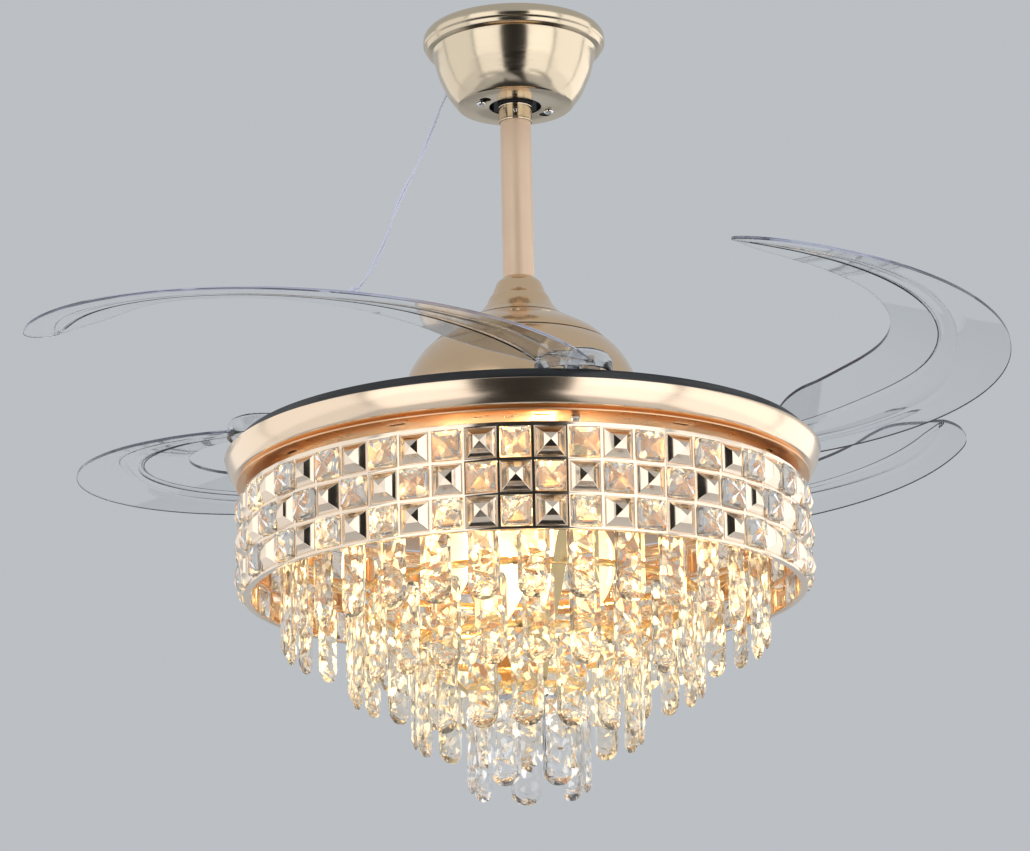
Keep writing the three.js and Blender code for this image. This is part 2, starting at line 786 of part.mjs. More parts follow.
function bladeSheet() {
  const across = 2;
  const half = bladeThickness / 2;
  const rows = bladeInnerShares.map(([degrees, share]) => {
    const [inner, outer] = bladeEdges(degrees, share);
    const row = [];
    for (let j = 0; j <= across; j += 1) {
      row.push(bladePoint(degrees, inner + (outer - inner) * j / across));
    }
    return row;
  });
  const points = [];
  const width = across + 1;
  for (const side of [half, -half]) {
    for (const row of rows) {
      for (const [x, y, z] of row) points.push([x, y, z + side]);
    }
  }
  const tip = bladePoint(bladeTipEndAngle, bladeTipRadius);
  const tipTop = points.push([tip[0], tip[1], tip[2] + half]) - 1;
  const tipBottom = points.push([tip[0], tip[1], tip[2] - half]) - 1;
  const layer = rows.length * width;
  const at = (side, i, j) => side * layer + i * width + j;
  const triangles = [];
  const quad = (a, b, c, d) => triangles.push([a, b, c], [a, c, d]);
  const last = rows.length - 1;
  for (let i = 0; i < last; i += 1) {
    for (let j = 0; j < across; j += 1) {
      quad(at(0, i, j), at(0, i + 1, j), at(0, i + 1, j + 1), at(0, i, j + 1));
      quad(at(1, i, j + 1), at(1, i + 1, j + 1), at(1, i + 1, j), at(1, i, j));
    }
    quad(at(0, i + 1, 0), at(0, i, 0), at(1, i, 0), at(1, i + 1, 0));
    quad(at(0, i, across), at(0, i + 1, across), at(1, i + 1, across), at(1, i, across));
  }
  for (let j = 0; j < across; j += 1) {
    quad(at(0, 0, j), at(0, 0, j + 1), at(1, 0, j + 1), at(1, 0, j));
    triangles.push([at(0, last, j), tipTop, at(0, last, j + 1)]);
    triangles.push([at(1, last, j + 1), tipBottom, at(1, last, j)]);
  }
  quad(tipTop, at(0, last, 0), at(1, last, 0), tipBottom);
  quad(at(0, last, across), tipTop, tipBottom, at(1, last, across));
  return meshFrom(points, triangles).translate(-pivotRadius, 0, 0);
}

// Clear blade with its round boss and the bore for the post
function blade() {
  const bottom = -discTopDrop + gap;
  const boss = upright(bossRadius, bottom, -bossTopDrop, smallSegments);
  const bore = upright(holeRadius(postRadius, tinySegments), bottom - overrun,
    -postTopDrop + gap, tinySegments);
  return fromSolid(cut(unite([bladeSheet(), boss]), [bore]));
}

// Lamp pan: the broad bright band with a flat floor clamped on the shaft
function lampPan() {
  const top = -panTopDrop;
  const bottom = top - panHeight;
  const lower = panRadius - panLowerInset;
  const foot = panRadius - panFootInset;
  const outside = [
    [panRadius, top],
    [panRadius - panLowerInset * 0.35, top - panHeight * 0.45],
    [lower, top - panHeight * 0.88],
    [foot, bottom],
  ];
  const inside = [
    [panRadius - panWall, top],
    [lower - panWall, top - panHeight * 0.88 + panWall / 2],
    [foot - panWall, bottom + panWall],
  ];
  const bore = holeRadius(shaftRadius, smallSegments);
  return turned([
    [bore, bottom],
    [bore, bottom + panWall],
    ...inside.reverse(),
    ...outside,
  ], largeSegments);
}

function lampPlate() {
  const top = -plateTopDrop;
  const bottom = top - plateThickness;
  const bore = holeRadius(shaftRadius, smallSegments);
  const body = toSolid(ring(bore, plateRadius, bottom, top, largeSegments));
  const slots = [];
  for (let i = 0; i < plateSlotCount; i += 1) {
    const tool = slot(plateSlotLength, plateSlotWidth, bottom - overrun, top + overrun);
    slots.push(placed(tool.rotateZ(turn / 4), plateSlotRadius,
      plateSlotPhase + i * 360 / plateSlotCount));
  }
  return fromSolid(cut(body, slots));
}

const lampNut = () => {
  const top = -plateBottomDrop - gap;
  return ring(holeRadius(shaftRadius, nutSides), lampNutRadius, top - lampNutHeight, top, nutSides);
};

const drumPost = () => upright(drumPostRadius, -drumTopDrop + gap,
  -plateBottomDrop - gap, tinySegments);

// Drum cells: rows and columns of a chequer, crystals where the sum is even
const cellAngle = (column) => drumPhase + column * 360 / drumColumns;
const cellDrop = (row) => drumTopDrop + drumTopMargin + (row + 0.5) * drumRowPitch;
const isCrystal = (row, column) => (row + column) % 2 === 0;
const facetShare = Math.cos(Math.PI / drumColumns);

// A square prism across the wall at one cell, facing out from the axis
function cellPrism(inner, outer, size, row, column) {
  const half = size / 2;
  return block(inner, outer, -half, half, -half, half)
    .rotateZ(rad(cellAngle(column)))
    .translate(0, 0, -cellDrop(row));
}

// A square pyramid whose base lies inside the wall and has the cell's size at the wall's face
function cellPyramid(face, row, column) {
  const root = drumWall / 2;
  const half = cellSize / 2 * (pyramidHeight + root) / pyramidHeight;
  const base = [[-half, -half], [half, -half], [half, half], [-half, half]];
  const points = [...base.map(([y, z]) => [face - root, y, z]), [face + pyramidHeight, 0, 0]];
  const triangles = [[0, 2, 1], [0, 3, 2], [0, 1, 4], [1, 2, 4], [2, 3, 4], [3, 0, 4]];
  return meshFrom(points, triangles)
    .rotateZ(rad(cellAngle(column)))
    .translate(0, 0, -cellDrop(row));
}

function drum() {
  const outer = drumRadius;
  const inner = drumRadius - drumWall;
  const [top, bottom] = [-drumTopDrop, -drumBottomDrop];
  const start = rad(cellAngle(0) + 180 / drumColumns) + turn / 4;
  const shell = toSolid(turned([
    [outer, bottom],
    [outer, top],
    [inner - drumTopFlangeWidth, top],
    [inner - drumTopFlangeWidth, top - drumFlangeThickness],
    [inner, top - drumFlangeThickness],
    [inner, bottom + drumFlangeThickness],
    [outer - drumBottomFlangeWidth, bottom + drumFlangeThickness],
    [outer - drumBottomFlangeWidth, bottom],
  ], drumColumns, start));
  const face = outer * facetShare;
  const holes = [];
  const pyramids = [];
  for (let row = 0; row < drumRows; row += 1) {
    for (let column = 0; column < drumColumns; column += 1) {
      if (isCrystal(row, column)) {
        holes.push(cellPrism(face - drumWall - overrun, face + overrun, cellSize, row, column));
      } else {
        pyramids.push(cellPyramid(face, row, column));
      }
    }
  }
  const tools = holes.map(toSolid).reduce((all, next) => all.add(next));
  const bumps = pyramids.map(toSolid).reduce((all, next) => all.add(next));
  return fromSolid(shell.subtract(tools).add(bumps));
}

// One row of the drum's crystals on the thin clear strip that runs behind the wall
function crystalRow(row) {
  const half = cellSize / 2 - gap;
  const root = (drumRadius - drumWall) * facetShare - gap;
  const back = root - crystalStripThickness;
  const points = [];
  const triangles = [];
  const perCrystal = 13;
  const columns = [];
  for (let column = 0; column < drumColumns; column += 1) {
    if (isCrystal(row, column)) columns.push(column);
  }
  for (const column of columns) {
    const angle = rad(cellAngle(column));
    const place = (radial, across, z) => points.push([
      radial * Math.cos(angle) - across * Math.sin(angle),
      radial * Math.sin(angle) + across * Math.cos(angle),
      z - cellDrop(row),
    ]);
    for (const z of [-half, half]) {
      for (const radial of [back, root, drumRadius + crystalSideHeight]) {
        place(radial, -half, z);
        place(radial, half, z);
      }
    }
    place(drumRadius + crystalTipHeight, 0, 0);
  }
  const quad = (a, b, c, d) => triangles.push([a, b, c], [a, c, d]);
  columns.forEach((column, i) => {
    const own = (n) => i * perCrystal + n;
    const next = (n) => ((i + 1) % columns.length) * perCrystal + n;
    const high = 6;
    quad(own(0), own(0 + high), own(1 + high), own(1));
    quad(own(2), own(4), own(4 + high), own(2 + high));
    quad(own(5), own(3), own(3 + high), own(5 + high));
    for (const level of [0, 1]) {
      const lift = level * high;
      const ways = level ? [[2, 3, 1, 0], [4, 5, 3, 2]] : [[0, 1, 3, 2], [2, 3, 5, 4]];
      for (const way of ways) quad(...way.map((n) => own(n + lift)));
    }
    const tip = own(12);
    triangles.push([own(4), own(5), tip], [own(5), own(5 + high), tip]);
    triangles.push([own(5 + high), own(4 + high), tip], [own(4 + high), own(4), tip]);
    quad(own(1), own(1 + high), next(0 + high), next(0));
    quad(own(3 + high), own(3), next(2), next(2 + high));
    quad(own(1), next(0), next(2), own(3));
    quad(own(1 + high), own(3 + high), next(2 + high), next(0 + high));
  });
  return meshFrom(points, triangles);
}

// Tier frame: four band rings stepping down and in, on bent struts from the drum wall
const tierDrop = (tier) => tierTopDrop + tier * tierStep;

const bandSegments = (tier) =>
  strutCount * (Math.round(tierCounts[tier] / (2 * strutCount)) + 1);

function tierFrame() {
  const half = tierBandThickness / 2;
  const bands = tierRadii.map((radius, tier) => ring(radius - half, radius + half,
    -tierDrop(tier) - tierBandHeight, -tierDrop(tier), bandSegments(tier),
    rad(strutPhase) + turn / 4));
  const wallFace = (drumRadius - drumWall) * facetShare - gap - crystalStripThickness;
  const reach = wallFace - gap - strutThickness / 2;
  const slope = tierStep / (tierRadii[0] - tierRadii[1]);
  const outerDrop = tierDrop(0) + tierBandHeight / 2 - (reach - tierRadii[0]) * slope;
  const last = tierRadii.length - 1;
  const innerEnd = tierRadii[last] - tierBandThickness;
  // The strut's middle line passes through every band
  const middle = tierRadii.map((radius, tier) => [
    tier === last ? innerEnd : radius,
    -tierDrop(tier) - tierBandHeight / 2,
  ]);
  const section = new THREE.Shape();
  const [outerFace, innerFace] = [reach + strutThickness / 2, reach - strutThickness / 2];
  section.moveTo(outerFace, -outerDrop + strutFootHeight);
  section.lineTo(innerFace, -outerDrop + strutFootHeight);
  section.lineTo(innerFace, -outerDrop + strutThickness / 2);
  middle.forEach(([radius, z]) => section.lineTo(radius, z + strutThickness / 2));
  [...middle].reverse().forEach(([radius, z]) => section.lineTo(radius, z - strutThickness / 2));
  section.lineTo(outerFace, -outerDrop - strutThickness / 2);
  const settings = { depth: strutWidth, bevelEnabled: false };
  const struts = [];
  for (let i = 0; i < strutCount; i += 1) {
    struts.push(new THREE.ExtrudeGeometry(section, settings)
      .translate(0, 0, -strutWidth / 2)
      .rotateX(turn / 4)
      .rotateZ(rad(strutPhase + i * 360 / strutCount)));
  }
  return fromSolid(unite([...bands, ...struts]));
}

// Pendants of one tier: flat bars with a tapered foot, linked by a thin wire at the top
function tierPendants(tier) {
  const count = tierCounts[tier];
  const radius = tierRadii[tier];
  const top = -tierDrop(tier) - tierBandHeight - gap;
  const bottom = top - pendantLength;
  const link = pendantLinkWidth / 2;
  const thin = tierBandThickness / 2;
  const shoulderZ = top - pendantLinkHeight - pendantShoulderHeight;
  const levels = [
    [link, thin, top],
    [link, thin, top - pendantLinkHeight],
    [pendantWidth / 2, pendantThickness / 2, shoulderZ],
    [pendantWidth / 2, pendantThickness / 2, bottom + pendantTaperHeight],
    [pendantTipWidth / 2, pendantThickness / 2, bottom],
  ];
  const points = [];
  const triangles = [];
  const perPendant = levels.length * 4;
  for (let i = 0; i < count; i += 1) {
    const angle = rad(tierPhases[tier]) + turn * i / count;
    for (const [across, deep, z] of levels) {
      for (const [r, t] of [[-deep, -across], [deep, -across], [deep, across], [-deep, across]]) {
        points.push([
          (radius + r) * Math.cos(angle) - t * Math.sin(angle),
          (radius + r) * Math.sin(angle) + t * Math.cos(angle),
          z,
        ]);
      }
    }
  }
  const quad = (a, b, c, d) => triangles.push([a, b, c], [a, c, d]);
  for (let i = 0; i < count; i += 1) {
    const own = (level, corner) => i * perPendant + level * 4 + corner;
    const next = (level, corner) => ((i + 1) % count) * perPendant + level * 4 + corner;
    for (let level = 0; level < levels.length - 1; level += 1) {
      for (let corner = 0; corner < 4; corner += 1) {
        const other = (corner + 1) % 4;
        const linked = level === 0 && (corner === 0 || corner === 2);
        if (!linked) {
          quad(own(level, corner), own(level + 1, corner),
            own(level + 1, other), own(level, other));
        }
      }
    }
    quad(own(0, 0), own(0, 1), own(0, 2), own(0, 3));
    const foot = levels.length - 1;
    quad(own(foot, 3), own(foot, 2), own(foot, 1), own(foot, 0));
    quad(own(0, 3), own(0, 2), next(0, 1), next(0, 0));
    quad(own(1, 2), own(1, 3), next(1, 0), next(1, 1));
    quad(own(0, 2), own(1, 2), next(1, 1), next(0, 1));
    quad(own(1, 3), own(0, 3), next(0, 0), next(1, 0));
  }
  return meshFrom(points, triangles);
}

// Lampholder: a flanged cup that opens downward
function lampSocket() {
  const top = -plateBottomDrop - gap;
  const bore = holeRadius(bulbCapRadius, tinySegments);
  const roof = top - socketWall;
  return turned([
    [0, top],
    [socketFlangeRadius, top],
    [socketFlangeRadius, top - socketFlangeHeight],
    [socketRadius, top - socketFlangeHeight],
    [socketRadius, top - socketHeight],
    [bore, top - socketHeight],
    [bore, roof - socketFlangeHeight],
    [0, roof - socketFlangeHeight],
  ], tinySegments);
}

// Candle bulb pointing down: a narrow cap and a swelling flame-shaped glass
const bulbShares = [[0.45, 0.02], [0.8, 0.16], [1, 0.36], [0.86, 0.62], [0.48, 0.86]];

function candleBulb() {
  const seat = -plateBottomDrop - gap - socketWall - socketFlangeHeight - gap;
  const glassTop = seat + socketWall + socketFlangeHeight - socketHeight;
  const glassLength = bulbLength - (seat - glassTop);
  return turned([
    [0, seat],
    [bulbCapRadius, seat],
    [bulbCapRadius, glassTop],
    ...bulbShares.map(([out, down]) => [bulbRadius * out, glassTop - glassLength * down]),
    [0, glassTop - glassLength],
  ], tinySegments);
}

// Free supply cord: a plain tube through the chosen points
function supplyCord() {
  const section = new THREE.Shape();
  for (let i = 0; i < cordSides; i += 1) {
    const a = turn * i / cordSides;
    const [x, y] = [cordRadius * Math.cos(a), cordRadius * Math.sin(a)];
    if (i) section.lineTo(x, y);
    else section.moveTo(x, y);
  }
  const path = new THREE.CatmullRomCurve3(cordRoute.map((p) => new THREE.Vector3(...p)));
  return closed(new THREE.ExtrudeGeometry(section, {
    steps: cordSteps,
    extrudePath: path,
    bevelEnabled: false,
  }));
}

// Two wire caps side by side just past the end of the cord
function wireCap(side) {
  const [before, end] = cordRoute.slice(-2).map((p) => new THREE.Vector3(...p));
  const along = end.clone().sub(before).normalize();
  const across = new THREE.Vector3().crossVectors(along, new THREE.Vector3(0, 1, 0));
  const centre = end.clone()
    .addScaledVector(along, gap + wireCapLength / 2)
    .addScaledVector(across, side * wireCapSpread / 2);
  const tip = wireCapRadius * 0.8;
  const cap = new THREE.CylinderGeometry(tip, wireCapRadius, wireCapLength, tinySegments);
  cap.applyQuaternion(new THREE.Quaternion().setFromUnitVectors(
    new THREE.Vector3(0, 1, 0), along));
  return cap.translate(...centre.toArray());
}

// Assembly from the ceiling down
piece('ceiling_bracket', ceilingBracket(), steel);
piece('canopy', canopy(), gold);
piece('canopy_screw_1', canopyScrew(keyholeAngle), steel);
piece('canopy_screw_2', canopyScrew(keyholeAngle + 180), steel);
piece('supply_cord', supplyCord(), white);
piece('wire_cap_1', wireCap(1), white);
piece('wire_cap_2', wireCap(-1), white);
piece('hanger_ball', hangerBall(), rubber);
piece('hanger_pin', crossPin(hangerPinRadius, hangerPinLength, ballDrop, tinySegments), steel);
piece('downrod', downrod(), satinGold);
piece('rod_collar', rodCollar(), gold);
piece('collar_screw', collarScrew(), steel);
piece('coupling_pin', crossPin(couplingPinRadius, couplingPinLength, couplingPinDrop,
  tinySegments), steel);
piece('coupling_cover', couplingCover(), satinGold);
piece('top_cover', topCover(), satinGold);
piece('motor_shaft', motorShaft(), steel);
piece('stator', stator(), copperWinding);

// The turning parts
piece('rotor_shell', rotorShell(), satinGold);
piece('magnet_ring', magnetRing(), magnet);
piece('bearing_upper', bearing(-shellTopDrop - shellPlateThickness - 2 * gap), steel);
piece('bearing_lower', bearing(-shoulderTopDrop + gap + bearingHeight), steel);
piece('blade_disc', bladeDisc(), black);

// Four folding blades, each in a group on its pivot
for (let k = 0; k < bladeCount; k += 1) {
  const pivot = new THREE.Group();
  const [x, y] = polar(pivotRadius, bladeAngle(k));
  pivot.position.set(x, y, 0);
  fan.add(pivot);
  piece(`pivot_post_${k + 1}`, pivotPost(), steel, pivot);
  const hinge = new THREE.Group();
  hinge.rotation.z = rad(bladeAngle(k) + openAngle);
  pivot.add(hinge);
  piece(`blade_${k + 1}`, blade(), clear, hinge);
}

// The lamp below
piece('lamp_pan', lampPan(), roseGold);
piece('lamp_plate', lampPlate(), copper);
piece('lamp_nut', lampNut(), steel);
for (let i = 0; i < drumPostCount; i += 1) {
  const post = placed(drumPost(), drumPostPitchRadius, drumPostPhase + i * 360 / drumPostCount);
  piece(`drum_post_${i + 1}`, post, steel);
}
piece('drum', drum(), roseGold);
for (let row = 0; row < drumRows; row += 1) {
  piece(`crystal_row_${row + 1}`, crystalRow(row), crystal);
}
piece('tier_frame', tierFrame(), gold);
for (let tier = 0; tier < tierRadii.length; tier += 1) {
  piece(`tier_crystals_${tier + 1}`, tierPendants(tier), crystal);
}
for (let i = 0; i < lampCount; i += 1) {
  const angle = lampPhase + i * 360 / lampCount;
  piece(`lamp_socket_${i + 1}`, placed(lampSocket(), lampPitchRadius, angle), porcelain);
  piece(`bulb_${i + 1}`, placed(candleBulb(), lampPitchRadius, angle), glow);
}

export default fan;
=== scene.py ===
"""Chandelier ceiling fan: fine pieces, finishes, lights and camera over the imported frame.

Metres, +Z up along the downrod, the ceiling at zero, the photograph taken from -Y.
"""

import math

import bmesh
import bpy
from mathutils import Matrix, Vector


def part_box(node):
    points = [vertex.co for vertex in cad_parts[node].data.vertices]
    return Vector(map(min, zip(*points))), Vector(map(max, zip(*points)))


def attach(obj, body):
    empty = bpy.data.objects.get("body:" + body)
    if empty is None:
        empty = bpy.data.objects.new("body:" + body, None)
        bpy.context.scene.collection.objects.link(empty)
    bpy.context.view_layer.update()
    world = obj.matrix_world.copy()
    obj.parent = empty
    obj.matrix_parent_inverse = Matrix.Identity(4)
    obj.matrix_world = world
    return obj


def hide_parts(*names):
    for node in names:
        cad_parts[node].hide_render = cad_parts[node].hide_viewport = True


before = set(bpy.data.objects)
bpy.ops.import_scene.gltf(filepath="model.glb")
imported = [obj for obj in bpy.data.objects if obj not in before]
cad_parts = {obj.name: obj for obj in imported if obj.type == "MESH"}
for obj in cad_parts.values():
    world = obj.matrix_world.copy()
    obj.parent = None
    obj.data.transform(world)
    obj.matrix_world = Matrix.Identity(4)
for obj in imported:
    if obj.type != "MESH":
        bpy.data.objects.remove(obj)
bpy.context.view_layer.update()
scene = bpy.context.scene
scene.view_settings.view_transform = "Standard"

# Camera of the photograph
camera_place = (0.0, -3.2524, -1.2453)
camera_lens = 140.02
camera_yaw = math.radians(-0.103)
camera_pitch = math.radians(15.379)
camera_roll = math.radians(-1.187)

# Hanging parts above the fan
rod_radius = 0.0133
rod_bore = 0.0105
rod_top = -0.015
rod_bottom = -0.2577
ball_radius = 0.0265
ball_drop = 0.038
ball_cut = 0.018
canopy_depth = 0.0665
canopy_flange = 0.0785
canopy_side = 0.0705
canopy_bottom = 0.0491
canopy_hole = 0.0224
canopy_wall = 0.0015
keyhole_radius = 0.031
keyhole_angles = (22, 202)
keyhole_narrow = 0.0024
keyhole_wide = 0.0048
keyhole_length = 0.009
cord_hole_radius = 0.0024

# Fan
hood_top = -0.2585
hood_bottom = -0.2825
vent_count = 12
vent_phase = -94
vent_radius = 0.052
vent_size = (0.004, 0.008, 0.030)
shell_top = -0.2835
shell_bottom = -0.3697
disc_top = -0.370
disc_radius = 0.240
pivot_radius = 0.218
pivot_angle = 11
pivot_hole = 0.0053
post_radius = 0.0050
post_foot = 0.0086
open_angle = 63

# Lamp
pan_top = -0.380
pan_radius = 0.250
pan_dark_radius = 0.2345
plate_top = -0.4023
plate_bottom = -0.4038
plate_radius = 0.2400
plate_bore = 0.0083
plate_slot_count = 12
plate_slot_phase = -86
plate_slot_radius = 0.225
plate_slot_size = (0.0035, 0.014, 0.006)
drum_radius = 0.2347
drum_top = -0.4118
drum_bottom = -0.4982
drum_thickness = 0.0015
drum_top_flange = 0.0190
drum_bottom_flange = 0.0057
edge_easing = 0.0004
drum_columns = 54
drum_rows = 3
drum_phase = -91.34
drum_row_pitch = 0.0277
drum_row_first = -0.4280
cell_size = 0.0235
tier_counts = (32, 24, 16, 7)
tier_radii = (0.200, 0.145, 0.093, 0.0477)
tier_phases = (-88, -86, -90, -61.3)
tier_first = -0.4590
tier_step = 0.040
band_height = 0.006
strut_phase = -79
lamp_radius = 0.062
lamp_phase = -74


# Pieces

def shaded(mesh, crease=32):
    mesh.shade_smooth()
    mesh.set_sharp_from_angle(angle=math.radians(crease))


def new_object(name, bm):
    """An object of a finished shape, linked to the scene."""
    mesh = bpy.data.meshes.new(name)
    bm.to_mesh(mesh)
    bm.free()
    thing = bpy.data.objects.new(name, mesh)
    scene.collection.objects.link(thing)
    return thing


def piece(name, bm, finish, body, nodes=(), crease=32, turned_out=True):
    """Makes a piece of a finished shape, lets it ride on its body and stand for its nodes."""
    if turned_out:
        bmesh.ops.recalc_face_normals(bm, faces=bm.faces)
    thing = new_object(name, bm)
    shaded(thing.data, crease)
    for one in finish if isinstance(finish, (list, tuple)) else [finish]:
        thing.data.materials.append(one)
    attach(thing, body)
    if nodes:
        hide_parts(*nodes)
    return thing


def lathe(profile, segments=96, closed=True):
    """Turns (radius, height, rounding) points about the axis; a closed profile makes a wall."""
    bm = bmesh.new()
    verts = [bm.verts.new((radius, 0, height)) for radius, height, _ in profile]
    pairs = list(zip(verts, verts[1:]))
    if closed:
        pairs.append((verts[-1], verts[0]))
    for pair in pairs:
        bm.edges.new(pair)
    for vert, (_, _, rounding) in zip(verts, profile):
        if rounding:
            bmesh.ops.bevel(bm, geom=[vert], offset=rounding, offset_type="OFFSET",
                            segments=4 if rounding > 0.002 else 2, profile=0.5,
                            affect="VERTICES", clamp_overlap=True, material=-1)
    bmesh.ops.spin(bm, geom=bm.verts[:] + bm.edges[:], cent=(0, 0, 0), axis=(0, 0, 1),
                   angle=2 * math.pi, steps=segments, use_merge=True)
    bmesh.ops.remove_doubles(bm, verts=bm.verts, dist=1e-6)
    return bm


def about(angle, radius=0.0, height=0.0):
    """A place at an angle and radius round the axis, facing outward."""
    return Matrix.Rotation(math.radians(angle), 4, "Z") @ Matrix.Translation((radius, 0, height))


def around(count, phase, radius=0.0, height=0.0):
    """Evenly spaced places round the axis."""
    return [about(phase + 360 * i / count, radius, height) for i in range(count)]


def repeated(single, places, into=None):
    """Copies of one shape, one at each place."""
    whole = into or bmesh.new()
    pattern = bpy.data.meshes.new("pattern")
    single.to_mesh(pattern)
    single.free()
    for place in places:
        before = len(whole.verts)
        whole.from_mesh(pattern)
        whole.verts.ensure_lookup_table()
        bmesh.ops.transform(whole, matrix=place, verts=whole.verts[before:])
    bpy.data.meshes.remove(pattern)
    return whole


def ease_edges(bm, edges, width, segments):
    bmesh.ops.bevel(bm, geom=edges, offset=width, segments=segments, profile=0.5,
                    affect="EDGES", clamp_overlap=True, material=-1)


def inset_face(bm, face, steps):
    """Insets one face by a width and a depth, step after step."""
    for width, depth in steps:
        bmesh.ops.inset_individual(bm, faces=[face], thickness=width, depth=depth)


def extruded(made, kind):
    """The parts of one kind that an extrusion gave."""
    return [part for part in made["geom"] if isinstance(part, kind)]


def bar(size, centre=(0, 0, 0), chamfer=0.0, segments=1):
    """A block with eased edges."""
    bm = bmesh.new()
    bmesh.ops.create_cube(bm, size=1)
    bmesh.ops.scale(bm, vec=size, verts=bm.verts)
    if chamfer:
        ease_edges(bm, bm.edges[:], chamfer, segments)
    bmesh.ops.translate(bm, vec=centre, verts=bm.verts)
    return bm


def prism(radius, low, high, sides=32, chamfer=0.0):
    """An upright round or many-sided bar with eased ends."""
    bm = bmesh.new()
    bmesh.ops.create_cone(bm, cap_ends=True, segments=sides, radius1=radius, radius2=radius,
                          depth=high - low)
    bmesh.ops.translate(bm, vec=(0, 0, (low + high) / 2), verts=bm.verts)
    if chamfer:
        rims = [e for e in bm.edges if abs(e.verts[0].co.z - e.verts[1].co.z) < 1e-7]
        ease_edges(bm, rims, chamfer, 2)
    return bm


def turn_square(bm, axis):
    """Turns a shape by a right angle."""
    bmesh.ops.rotate(bm, cent=(0, 0, 0), matrix=Matrix.Rotation(math.pi / 2, 3, axis),
                     verts=bm.verts)


def ring(radius, thickness, steps, sides, height=0.0):
    """A small round ring lying flat."""
    bm = bmesh.new()
    bmesh.ops.create_circle(bm, segments=sides, radius=thickness)
    turn_square(bm, "X")
    bmesh.ops.translate(bm, vec=(radius, 0, height), verts=bm.verts)
    bmesh.ops.spin(bm, geom=bm.verts[:] + bm.edges[:], cent=(0, 0, height), axis=(0, 0, 1),
                   angle=2 * math.pi, steps=steps, use_merge=True)
    return bm


def threads(radius, thickness, lowest, pitch, count):
    """Rings that stand for a screw's thread."""
    return [ring(radius, thickness, steps=20, sides=6, height=lowest + i * pitch)
            for i in range(count)]


def joined(first, *others):
    """One shape of several."""
    for other in others:
        repeated(other, [Matrix.Identity(4)], into=first)
    return first


def carved(body, tool, operation="DIFFERENCE"):
    """The body with the tool's shape cut out of it, or joined to it."""
    objects = []
    for bm in (body, tool):
        bmesh.ops.recalc_face_normals(bm, faces=bm.faces)
        objects.append(new_object("carving", bm))
    cut = objects[0].modifiers.new("cut", "BOOLEAN")
    cut.operation = operation
    cut.solver = "EXACT"
    cut.object = objects[1]
    graph = bpy.context.evaluated_depsgraph_get()
    result = bpy.data.meshes.new_from_object(objects[0].evaluated_get(graph))
    bm = bmesh.new()
    bm.from_mesh(result)
    bpy.data.meshes.remove(result)
    for thing in objects:
        mesh = thing.data
        bpy.data.objects.remove(thing)
        bpy.data.meshes.remove(mesh)
    return bm


def smooth_value(points, x):
    """The value at x on a smooth curve through (x, value) points."""
    count = len(points)
    last = max(i for i in range(count - 1) if points[i][0] <= x or i == 0)
    (x0, y0), (x1, y1) = points[last], points[last + 1]
    before = points[max(last - 1, 0)]
    after = points[min(last + 2, count - 1)]
    span = x1 - x0
    start = (y1 - before[1]) / (x1 - before[0]) * span
    end = (after[1] - y0) / (after[0] - x0) * span
    t = min(max((x - x0) / span, 0), 1)
    return ((2 * t**3 - 3 * t**2 + 1) * y0 + (t**3 - 2 * t**2 + t) * start
            + (3 * t**2 - 2 * t**3) * y1 + (t**3 - t**2) * end)


# Finishes

cloud_scale = 14.0
coat_roughness = 0.08
noise_low = 0.3
noise_high = 0.7


def with_inputs(node, values):
    """The node, with its inputs set by name or number."""
    for key, value in values.items():
        node.inputs[key].default_value = value
    return node


def surface(name, colour, roughness, metallic, grain, grain_depth,
            roughness_swing=0.08, shade_swing=0.06, transmission=0.0, ior=1.5, coat=0.0,
            glow=None, glow_strength=0.0):
    """A finish with a fine grain in its roughness and relief and soft clouds in its colour."""
    material = bpy.data.materials.new(name)
    material.use_nodes = True
    nodes, links = material.node_tree.nodes, material.node_tree.links
    shader = with_inputs(nodes["Principled BSDF"], {
        "Metallic": metallic,
        "IOR": ior,
        "Transmission Weight": transmission,
        "Coat Weight": coat,
        "Coat Roughness": coat_roughness,
    })
    if glow:
        with_inputs(shader, {"Emission Color": (*glow, 1), "Emission Strength": glow_strength})
    place = nodes.new("ShaderNodeTexCoord")
    stretch = with_inputs(nodes.new("ShaderNodeMapping"), {"Scale": grain})
    fine = with_inputs(nodes.new("ShaderNodeTexNoise"), {"Scale": 1.0, "Detail": 4.0})
    links.new(place.outputs["Object"], stretch.inputs["Vector"])
    links.new(stretch.outputs["Vector"], fine.inputs["Vector"])
    cloud = with_inputs(nodes.new("ShaderNodeTexNoise"), {"Scale": cloud_scale, "Detail": 2.0})
    links.new(place.outputs["Object"], cloud.inputs["Vector"])
    polish = with_inputs(nodes.new("ShaderNodeMapRange"), {
        "From Min": noise_low,
        "From Max": noise_high,
        "To Min": max(roughness - roughness_swing / 2, 0),
        "To Max": roughness + roughness_swing / 2,
    })
    links.new(fine.outputs["Fac"], polish.inputs["Value"])
    links.new(polish.outputs["Result"], shader.inputs["Roughness"])
    tone = nodes.new("ShaderNodeMix")
    tone.data_type = "RGBA"
    with_inputs(tone, {
        "A": (*[c * (1 - shade_swing) for c in colour], 1),
        "B": (*[min(c * (1 + shade_swing), 1) for c in colour], 1),
    })
    links.new(cloud.outputs["Fac"], tone.inputs["Factor"])
    links.new(tone.outputs["Result"], shader.inputs["Base Color"])
    if grain_depth:
        relief = with_inputs(nodes.new("ShaderNodeBump"),
                             {"Strength": 1.0, "Distance": grain_depth})
        links.new(fine.outputs["Fac"], relief.inputs["Height"])
        links.new(relief.outputs["Normal"], shader.inputs["Normal"])
    return material


